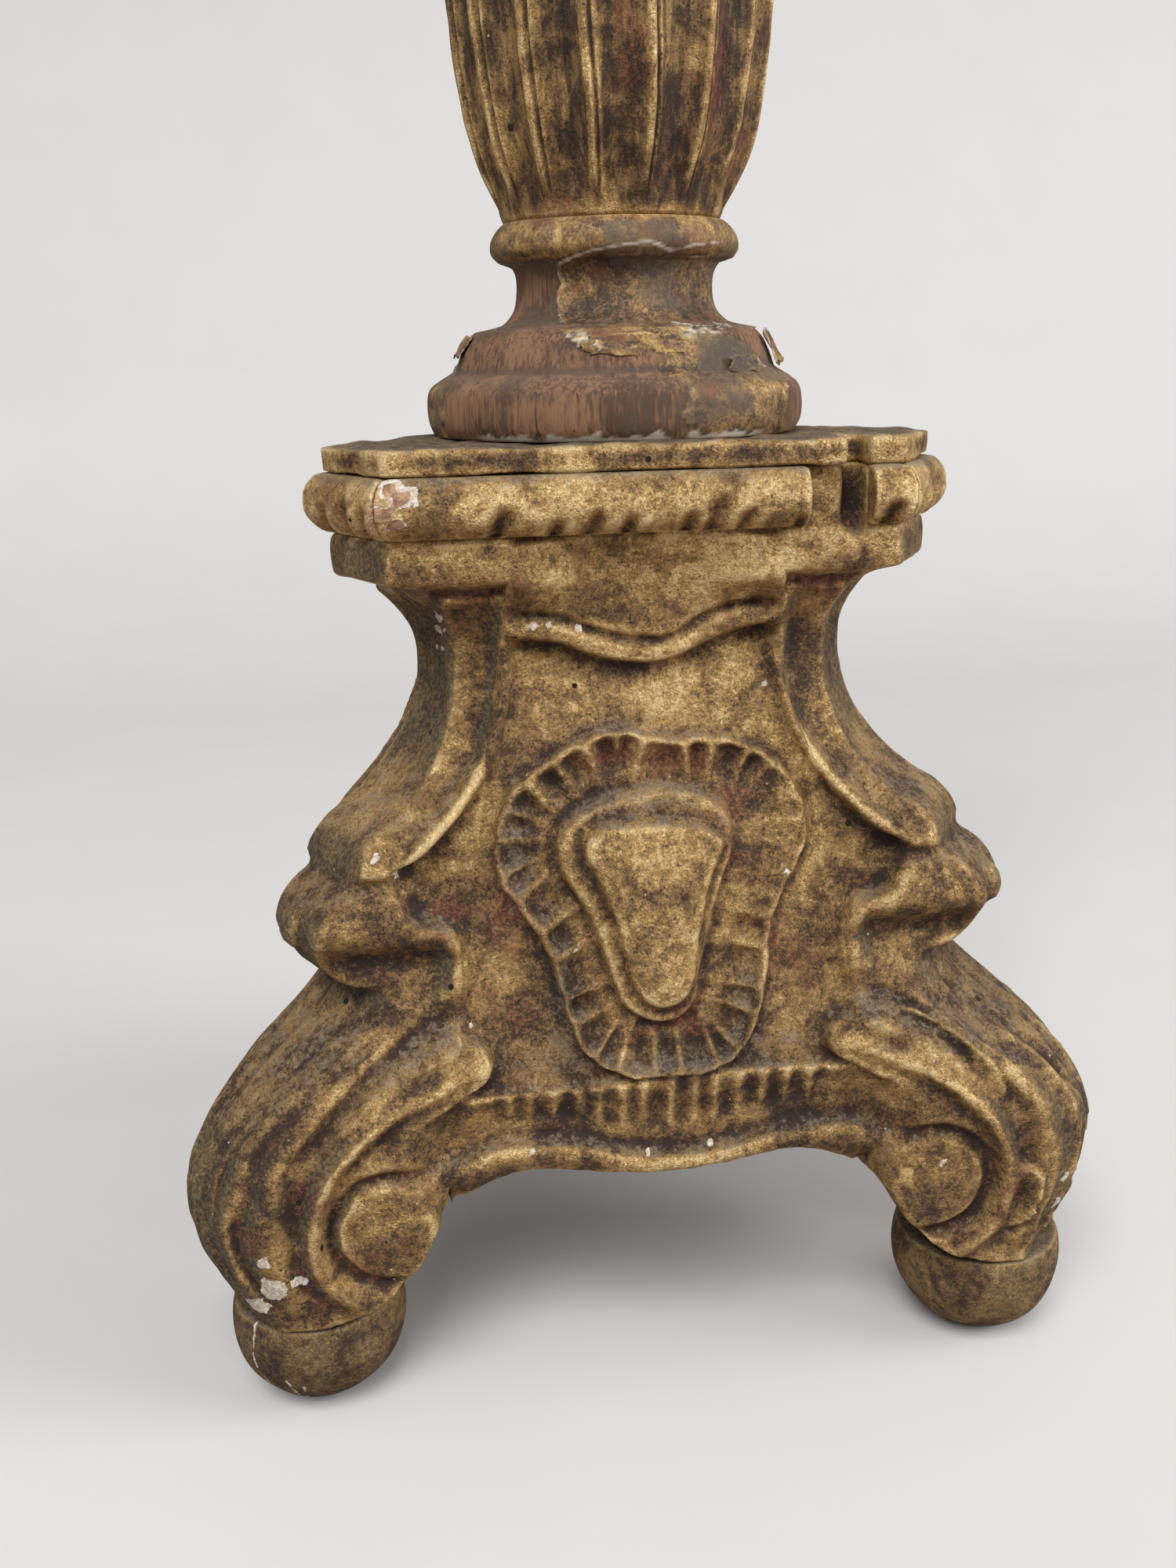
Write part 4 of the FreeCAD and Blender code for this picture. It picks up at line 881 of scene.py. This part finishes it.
for place, corner in CORNER_ANGLES.items():
    node = "corner_scroll_" + place
    piece = merged_copy(node)
    remeshed(piece, SCROLL_CELL)
    out, along = directions(corner)
    for turn in range(3):
        spots, normals = places(piece)
        pairs = edges_of(piece)
        z = spots[:, 2]
        even = smoothed(normals, pairs, 4)
        level = np.hypot(even[:, 0], even[:, 1])
        in_plan = (even @ out) / np.maximum(level, 0.05)
        low = ease(*HEEL, z) * (1 - ease(*KNEE_FOOT, z))
        target = canted_reach(spots @ along, z) - FOOT_IN[place] * (1 - ease(96, 108, z))
        low = low * (1 - ease(*OTHER_WALL, np.abs(target - spots @ out)))
        canted = smoothed(ease(0.8, 0.93, in_plan) * ease(0.2, 0.4, level) * low, pairs, 3)
        moves = np.clip(target - spots @ out, -CANTED_STEP, CANTED_STEP)[:, None] * canted * out
        shares = canted
        wide = 1 - ease(96, 106, z)
        facing = (0.62 - 0.32 * wide, 0.84 - 0.26 * wide)
        kept = (1 - ease(0.7, 0.86, in_plan) * low) * (1 if turn < 2 else wide)
        for side in FLANK_TURNS:
            flank = carve_side(spots, normals, pairs, corner + side, FLANK_STEP, facing)
            moves = moves + (flank - spots) * kept[:, None]
            faced = ease(*facing, normals @ directions(corner + side)[0])
            shares = shares + smoothed(faced, pairs, 3) * kept[:, None]
        moved = spots + np.where(spots[:, 2:] < CORNICE_SEAT, moves / np.maximum(shares, 1), 0)
        if turn == 0:
            half = curve(CANTED_HALF, z)
            weight = smoothed(ease(0.6, 0.85, even @ out), pairs, 4)
            moved += canted_relief(spots @ along, z, half)[:, None] * weight * out
            above = ease(0.45, 0.8, even @ out) * ease(108, 114, z)
            moved += (smoothed(moved, pairs, 8, 0.5) - moved) * above[:, None]
        moved += (smoothed(moved, pairs, 4, 0.5) - moved) * (ease(0.72, 0.86, in_plan) * low)[:, None]
        put_back(piece, smoothed(moved, pairs, 2, 0.5))
        remeshed(piece, SCROLL_CELL)
    spots, normals = places(piece)
    spots = uneven(spots, normals, *HAND_WORK)
    put_back(piece, smoothed(spots, edges_of(piece), 2, 0.5))
    spots, normals = places(piece)
    z = spots[:, 2]
    gold, worn, dusty, chip, plain = (np.zeros(len(z)) for _ in range(5))
    plain += 1
    for side in FLANK_TURNS:
        face, run = directions(corner + side)
        s = spots @ run
        flank = ease(0.4, 0.8, normals @ face)
        gold += blots(np.abs(s), z, SCROLL_GOLD) * flank
        worn += blots(np.abs(s), z, SCROLL_WORN) * flank
        dusty += blots(np.abs(s), z, SCROLL_DUSTY) * flank
        plain *= 1 - (1 - ease(0.5, 4.5, past_joint(s, z))) * flank
        if (corner + side) % 360 == SIDE_ANGLES["front"]:
            ragged = s + lumps(spots, 4, 22) * 0.9, z + lumps(spots, 4, 23) * 0.9
            chip += dots(*ragged, SCROLL_CHIPS[place]) * ease(-0.2, 0.2, normals @ face)
    # Painted shade, with dust, on the canted faces: strongest on the front left scroll.
    canted_shade_and_dust = ease(0.55, 0.9, normals @ out) * (0.95 if place == "front_left" else 0.6)
    # The leaf is painted darker on the canted faces and below the knee: painted shade.
    gold = gold - 0.1 * canted_shade_and_dust - 0.1 * (1 - ease(132, 142, z))
    age(piece, dust=0.6, tarnish=canted_shade_and_dust, gold=gold, worn=worn, dusty=dusty, chip=chip, plain=plain)
    finish_piece(piece, node, gilt)

# %% [markdown]
# The roll moulding under the top board is carved with tongues: short leaning cuts that rise from its lower
# edge. Each cut is a soft furrow with a low ridge beside it. At the left end of the front length the gilding
# has been knocked off, down to the wood.

# %% Cornice mouldings
FRONT_CUTS = [(-35, 2.4, 9), (-22, 1.8, 5), (-13.5, 1.8, 7), (-5.5, 1.6, 5.5), (8.5, 1.8, 6), (14, 2.4, 11),
              (21, 1.8, 6), (34.5, 1.4, 4)]
SIDE_CUTS = [(-46, 2.2, 9), (-36, 1.8, 6), (-27, 2.4, 10), (-18, 1.8, 5), (-9, 2.0, 8), (0, 1.8, 6),
             (10, 2.4, 10), (19, 1.8, 5), (28, 2.0, 8), (38, 1.8, 6), (47, 2.2, 9)]
CORNER_CUTS = [(-9, 2.2, 9), (0, 2.6, 11), (9, 2.2, 9)]
STUB_CUTS = [(56, 2, 7)]
ROLL_FOOT = 217.0
MOULDING_CELL = 0.6
BROKEN_END = {"chip": ((-57, -53, 226), 5.5, 21), "skin": ((-57.5, -53, 225), 4.6, 21)}


def carve_moulding(piece, angle, cuts):
    """Leaning cuts in a length of moulding, each given by its place, half width and height."""
    remeshed(piece, MOULDING_CELL)
    out, along = directions(angle)
    spots, normals = places(piece)
    across, z = spots @ along, spots[:, 2]
    front = ease(0.1, 0.5, normals @ out)
    move = np.zeros(len(spots))
    for place, half, tall in cuts:
        line = place + (z - ROLL_FOOT) * 0.28
        rise = 1 - ease(tall * 0.45, tall, z - ROLL_FOOT)
        furrow = 2.6 * rise * np.exp(-((across - line) / half) ** 2)
        move -= furrow - 0.7 * rise * np.exp(-((across - line - half * 2.1) / half) ** 2)
    move += lumps(spots, 24, 11) * 0.35 + lumps(spots, 8, 12) * 0.15
    put_back(piece, smoothed(spots + (move * front)[:, None] * out, edges_of(piece), 3))


def chipped(piece, centre, size, seed):
    """Mask of a knocked-off patch round a centre in millimetres, with a ragged edge."""
    spots = places(piece)[0]
    away = np.linalg.norm(spots - np.array(centre), axis=1) + lumps(spots, 5, seed) * size * 0.45
    return 1 - ease(size * 0.75, size, away)


mouldings = {"cornice_front": (SIDE_ANGLES["front"], FRONT_CUTS),
             "cornice_front_stub": (SIDE_ANGLES["front"], STUB_CUTS),
             "cornice_left": (SIDE_ANGLES["left"], SIDE_CUTS),
             "cornice_right": (SIDE_ANGLES["right"], SIDE_CUTS)}
mouldings |= {"corner_cornice_" + place: (angle, CORNER_CUTS) for place, angle in CORNER_ANGLES.items()}
for node, (angle, cuts) in mouldings.items():
    piece = merged_copy(node)
    carve_moulding(piece, angle, cuts)
    none = np.zeros(len(piece.data.vertices))
    broken = {"chip": none, "skin": none}
    if node == "cornice_front":
        broken = {mark: chipped(piece, *patch) for mark, patch in BROKEN_END.items()}
    age(piece, gold=none + 0.1, worn=none + 0.1, **broken)
    finish_piece(piece, node, gilt)

# %% [markdown]
# The top board is plain, but its edge has been knocked about and its top is dusty. Two sizes of gentle lumps
# take away the straight lines of the CAD solid.

# %% Top board
piece = merged_copy("top_board")
remeshed(piece, 0.9)
spots, normals = places(piece)
spots = uneven(spots, normals, (30, 31, 0.35), (11, 32, 0.25))
put_back(piece, smoothed(spots, edges_of(piece), 3))
age(piece, dust=0.9)
finish_piece(piece, "top_board", gilt_board)

# %% [markdown]
# The feet are turned balls, smoother than the carving. On the front left one the gesso has cracked downwards,
# and the cracks show white.

# %% Ball feet
CRACK_WIDTH = 0.35


def crack_marks(spots, lines):
    """White hairline cracks along paths of (x, y, z) points."""
    mark = np.zeros(len(spots))
    for line in lines:
        line = np.array(line, float)
        for a, b in zip(line, line[1:]):
            step = b - a
            t = np.clip(((spots - a) @ step) / (step @ step), 0, 1)
            gap = np.linalg.norm(spots - a - t[:, None] * step, axis=1) + lumps(spots, 3, 41) * 0.12
            mark = np.maximum(mark, 1 - ease(CRACK_WIDTH * 0.6, CRACK_WIDTH * 1.4, gap))
    return mark


BALL_REACH, BALL_LEVEL, BALL_RADIUS = 102, 21.4, 22.2
CRACK_SIDE = 255
BALL_CRACKS = [[(-30, 34), (-29, 26), (-31, 18), (-28, 10)], [(-8, 14), (-4, 8), (-6, 3)], [(4, 12), (2, 6)]]
for place, angle in CORNER_ANGLES.items():
    node = "ball_foot_" + place
    piece = merged_copy(node)
    remeshed(piece, 0.6)
    spots, normals = places(piece)
    spots = uneven(spots, normals, (17, 43, 0.25))
    put_back(piece, smoothed(spots, edges_of(piece), 3))
    out = directions(angle)[0]
    lines = []
    for path in BALL_CRACKS:
        line = []
        for bearing, z in path:
            radius = math.sqrt(max(BALL_RADIUS**2 - (z - BALL_LEVEL) ** 2, 0))
            around = directions(CRACK_SIDE + bearing)[0]
            line.append(out * BALL_REACH + radius * around + np.array([0, 0, z]))
        lines.append(line)
    mark = np.zeros(len(spots))
    if place == "front_left":
        mark = crack_marks(places(piece)[0], lines) * 0.8
    age(piece, chip=mark, tarnish=np.full(len(spots), 0.5))
    finish_piece(piece, node, gilt_ball)

# %% [markdown]
# The stem is turned, so each piece is an outline spun round the axis. The outline's points are spaced evenly
# first, and the spin has many steps, so that flutes and flakes can be worked into the surface afterwards.

# %% Turned pieces
def even_points(path, gap):
    """Points along a path at an even distance."""
    path = np.array(path, float)
    lengths = np.concatenate([[0], np.cumsum(np.hypot(*np.diff(path, axis=0).T))])
    count = max(int(lengths[-1] / gap), 4)
    spaced = np.linspace(0, lengths[-1], count + 1)
    return np.stack([np.interp(spaced, lengths, path[:, i]) for i in range(2)], axis=1)


def outline_of(start, *runs):
    """One outline from runs of points. Each run is smooth in itself and starts at a corner,
    where the last one ended."""
    path = []
    for run in runs:
        path.append(rounded_path([start] + run, 8))
        start = run[-1]
    return np.concatenate(path)


def spun(name, outline, gap, steps):
    """Turn an outline of (radius, height) points about the stem's axis."""
    work = bmesh.new()
    corners = [work.verts.new((r * MM, 0, z * MM)) for r, z in even_points(outline, gap)]
    lines = [work.edges.new(pair) for pair in zip(corners, corners[1:])]
    bmesh.ops.spin(work, geom=corners + lines, cent=(0, 0, 0), axis=(0, 0, 1), dvec=(0, 0, 0), angle=math.tau,
                   steps=steps, use_merge=True, use_duplicate=False)
    bmesh.ops.remove_doubles(work, verts=work.verts[:], dist=2e-6)
    return new_object(name, work)


CAMERA_SIDE = 261.6


def bearings(spots):
    """Angle round the axis in degrees from the direction that faces the camera, -180 to 180."""
    return (np.degrees(np.arctan2(spots[:, 1], spots[:, 0])) - CAMERA_SIDE + 180) % 360 - 180


def swell(spots, amount):
    """Move vertices out from the axis."""
    radius = np.hypot(spots[:, 0], spots[:, 1])
    scale = np.where(radius > 1, (radius + amount) / np.maximum(radius, 1), 1)
    return spots * np.stack([scale, scale, np.ones(len(scale))], axis=1)

# %% [markdown]
# The foot of the stem has lost much of its gilded skin. What is left is raised by the thickness of the gesso,
# with a ragged edge that has lifted here and there and shows white.

# %% Stem socle
SOCLE = outline_of((0, 237.15), [(45.5, 237.15)], [(47, 240), (47.3, 244.5), (46.4, 248.4), (43, 251)],
                   [(40.5, 252.5)], [(39.8, 254.5), (38.8, 257), (37.3, 259.8), (35, 262)],
                   [(30, 263), (27.5, 264), (25, 267), (24.2, 271), (24.4, 275), (25.6, 277.5)],
                   [(28.2, 278.4)], [(30, 280.4), (30.1, 283), (28.8, 285.4), (27, 287)], [(0, 287)])
SKIN_LEFT = [
    [(-31, 278), (-30, 266), (-22, 262.3), (-14, 261), (-12, 258.4), (10, 257.6), (24, 256.8), (28, 262),
     (100, 262), (150, 279), (-31, 279)],
    [(17, 261), (16, 255), (13, 253.5), (22, 249), (21, 244), (18, 236), (62, 236), (58, 246), (66, 252),
     (52, 258), (40, 262)],
    [(-178, 236), (-64, 236), (-60, 244), (-63, 250), (-80, 253), (-110, 258), (-120, 279), (-178, 279)],
    [(100, 236), (178, 236), (178, 279), (120, 279), (112, 262), (92, 252)],
    [(-179, 277.6), (179, 277.6), (179, 290), (-179, 290)]]
SOCLE_CRACK = [(-29, 277), (-10, 279.2), (15.5, 281), (27, 279), (40, 280.4), (55, 281.2)]
SOCLE_FOOT = 237.15
SKIN_ARC, CRACK_ARC = 0.62, 0.5

piece = spun("stem_socle_turned", SOCLE, 0.6, 300)
spots = places(piece)[0]
bearing, z = bearings(spots), spots[:, 2]
ragged = lumps(spots, 6, 51) * 1.1 + lumps(spots, 2.4, 52) * 0.5
margin = np.full(len(spots), -20.0)
for region in SKIN_LEFT:
    path = np.array(region, float) * np.array([SKIN_ARC, 1.0])
    margin = np.maximum(margin, depth_inside(path, bearing * SKIN_ARC, z)[0])
margin = margin + ragged
outer = np.hypot(spots[:, 0], spots[:, 1]) > 22
lift = np.clip(lumps(spots, 16, 53) + 0.1, 0, 1) * np.exp(-np.clip(margin, 0, 9) / 2.2)
raised = ease(-0.25, 0.35, margin) * (0.55 + 1.3 * lift)
put_back(piece, swell(spots, np.where(outer, raised + lumps(spots, 20, 54) * 0.25, 0)))
edge_white = np.exp(-((margin - 0.15) / 0.28) ** 2) * ease(0.15, 0.6, lift + 0.15) * 0.9
path = np.array(SOCLE_CRACK) * np.array([CRACK_ARC, 1.0])
crack_gap = along_path(path, bearing * CRACK_ARC, z)[0] + lumps(spots, 3, 55) * 0.15
edge_white = np.maximum(edge_white, 1 - ease(0.05, 0.4, crack_gap)) * outer
ragged_foot = 0.7 + 0.8 * lumps(spots, 5, 56) + 0.4 * lumps(spots, 2, 57)
foot_white = 1 - ease(0.2, 0.6, z - SOCLE_FOOT - ragged_foot)
foot_white = foot_white * ease(-48, -40, bearing) * (1 - ease(44, 52, bearing)) * outer
age(piece, skin=ease(-0.3, 0.3, margin), chip=np.maximum(edge_white, foot_white * 0.8), dust=0.6)
finish_piece(piece, "stem_socle", flaked)

# %% [markdown]
# A few flakes of gilded gesso have curled right off the wood and stand out from the outline. Each is a small
# grid, bent and made ragged, then given the thickness of the gesso.

# %% Lifted flakes
FLAKES = [("flake_right", 76, 257.2, 41.2, 9, 7.4, -0.48, 0.5),
          ("flake_right_low", 47, 253.4, 41.6, 10, 3.6, -0.3, 0.4),
          ("flake_left", -76, 258.6, 39.6, 10, 4.6, -0.8, 0.5),
          ("flake_front", 8, 258.4, 38.4, 24, 4.6, -0.3, 0.3),
          ("flake_back", 168, 257, 42.4, 12, 7, -0.55, 0.8)]
GESSO_THICK = 0.4


def lifted_flake(name, bearing, z, radius, wide, tall, lean, curl):
    """A ragged sheet against the stem: bearing from the camera's side, sizes in millimetres,
    lean outwards to the top."""
    work = bmesh.new()
    bmesh.ops.create_grid(work, x_segments=24, y_segments=12, size=0.5)
    for vertex in work.verts:
        u, v = vertex.co.x, vertex.co.y
        ragged = 1 + 0.1 * math.sin(7 * v + bearing) + 0.05 * math.sin(19 * v)
        reach = 1 + 0.16 * math.sin(8 * u + bearing) + 0.07 * math.sin(21 * u)
        turn = math.radians(CAMERA_SIDE + bearing) + u * wide * ragged / radius
        away = radius + 0.6 + lean * (v + 0.5) * tall + curl * (2 * abs(u)) ** 3
        away += 0.2 * math.sin(11 * u + 6 * v)
        vertex.co = Vector((away * math.cos(turn), away * math.sin(turn), z + v * tall * reach)) * MM
    shell = bmesh.ops.extrude_face_region(work, geom=work.faces[:])
    for vertex in (v for v in shell["geom"] if isinstance(v, bmesh.types.BMVert)):
        level = Vector((vertex.co.x, vertex.co.y, 0)).normalized()
        vertex.co += level * GESSO_THICK * MM
    piece = new_object(name, work)
    spots, normals = places(piece)
    facing = np.einsum("ij,ij->i", normals[:, :2], spots[:, :2]) / np.hypot(spots[:, 0], spots[:, 1])
    age(piece, dust=0.3, skin=np.ones(len(spots)), chip=(1 - ease(-0.6, 0.3, facing)) * 0.75)
    finish_piece(piece, None, flaked)


for flake in FLAKES:
    lifted_flake(*flake)

# %% [markdown]
# The vase has sixteen hollow flutes. Each is bounded by a narrow fillet with a dark scribed line beside it,
# and the flutes run out just above the ring.

# %% Fluted vase
FLUTES = 16
FLUTE_START = -8.0
VASE = outline_of((0, 287.15), [(26.6, 287.15)],
                  [(28, 290.5), (30.6, 295), (33.4, 301), (35.5, 308), (37.3, 318), (38.8, 330), (39.5, 345),
                   (39.2, 360), (37.6, 375), (34.6, 392), (30.4, 409), (26, 422), (24, 428)], [(0, 428)])
VASE_GIRTH = 39.5
piece = spun("fluted_vase_turned", VASE, 1.1, 512)
spots = places(piece)[0]
z = spots[:, 2]
share = ((bearings(spots) - FLUTE_START) * FLUTES / 360 + 0.04 * lumps(spots, 40, 61)) % 1.0
wide = ease(288.5, 297, z) * (1 - ease(418, 426, z))
centred = np.abs(2 * share - 1)
hollow_cut = 3.2 * np.clip(1 - (centred / 0.84) ** 2, 0, 1) ** 0.7
scribe = 1.7 * np.exp(-((share - 0.075) / 0.03) ** 2)
girth = np.hypot(spots[:, 0], spots[:, 1])
worn = lumps(spots * np.array([1, 1, 0.35]), 14, 62)
move = -(hollow_cut + scribe) * wide * girth / VASE_GIRTH + worn * 0.3 + lumps(spots, 6, 63) * 0.1
put_back(piece, swell(spots, np.where(girth > 20, move, 0)))
age(piece, worn=ease(0.1, 0.9, worn) * 0.5)
finish_piece(piece, "fluted_vase", gilt_stem)

# %% [markdown]
# The upper stem is plainer turning: a knop, a slim baluster and the dish that carries the pan. The pieces keep
# the CAD outline, with the slight unevenness of old gesso.

# %% Upper stem
KNOP = outline_of((0, 428.15), [(26, 428.15)], [(26.4, 429.5), (26, 431)],
                  [(29.4, 434), (31, 438.6), (31, 443), (29.4, 447), (25, 451), (19, 454)],
                  [(19.6, 457), (22, 462)], [(0, 462)])
BALUSTER = outline_of((0, 462.15), [(20, 462.15)],
                      [(23.4, 474), (25.6, 488), (26, 500), (24.4, 518), (20.6, 538), (15, 554)],
                      [(18, 557.6), (20, 562), (19.6, 567), (17, 572)], [(0, 572)])
DISH = outline_of((0, 572.15), [(18, 572.15)], [(18.6, 579), (21, 586)], [(36, 592.4), (50, 598.4), (62, 605)],
                  [(63.8, 607.6), (64, 610), (62.8, 612), (60, 612)], [(57.4, 608.4), (54, 605)], [(5.4, 605)],
                  [(5.4, 580), (0, 580)])
for node, outline in (("middle_knop", KNOP), ("upper_baluster", BALUSTER), ("candle_dish", DISH)):
    piece = spun(node + "_turned", outline, 0.9, 256)
    spots, normals = places(piece)
    put_back(piece, uneven(spots, normals, (22, 71, 0.22), (7, 72, 0.08)))
    age(piece)
    finish_piece(piece, node, gilt_stem)

# %% [markdown]
# The pan is thin sheet iron with a rolled rim, and the spike is drawn out to a point on the anvil. The pan is
# loose, so it rides on a body of its own.

# %% Pan and spike
PAN = outline_of((5.1, 605.4), [(43.5, 605.4)], [(46, 606.4), (48, 608.6), (52, 613.6)],
                 [(52.9, 614.4), (52.7, 615.2), (51.8, 615.2), (51.2, 614.4)],
                 [(47.2, 609.2), (45.4, 607.2), (43, 606.3)], [(5.1, 606.3)], [(5.1, 605.4)])
SPIKE = outline_of((0, 575.2), [(4.4, 575.2)], [(4.4, 609)], [(3.7, 630), (2.4, 660), (1.2, 682), (0.6, 692)],
                   [(0.35, 692.8), (0, 693)])
piece = spun("drip_pan_rolled", PAN, 0.7, 200)
spots = places(piece)[0]
put_back(piece, spots + np.array([0, 0, 1]) * (lumps(spots * np.array([1, 1, 0]), 30, 81) * 0.12)[:, None])
finish_piece(piece, "drip_pan", iron, "pan")
piece = spun("pricket_spike_forged", SPIKE, 0.8, 48)
spots = places(piece)[0]
above = ease(607, 612, spots[:, 2]) * (1 - ease(680, 690, spots[:, 2]))
facets = 0.22 * np.cos(np.radians(bearings(spots)) * 4) * above
put_back(piece, swell(spots, facets + lumps(spots, 12, 82) * 0.1 * above))
finish_piece(piece, "pricket_spike", iron)

# %% [markdown]
# The block inside the base is hidden. It keeps its CAD shape and gets raw wood.

# %% Block inside
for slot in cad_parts["stem_block"].material_slots:
    slot.material = raw
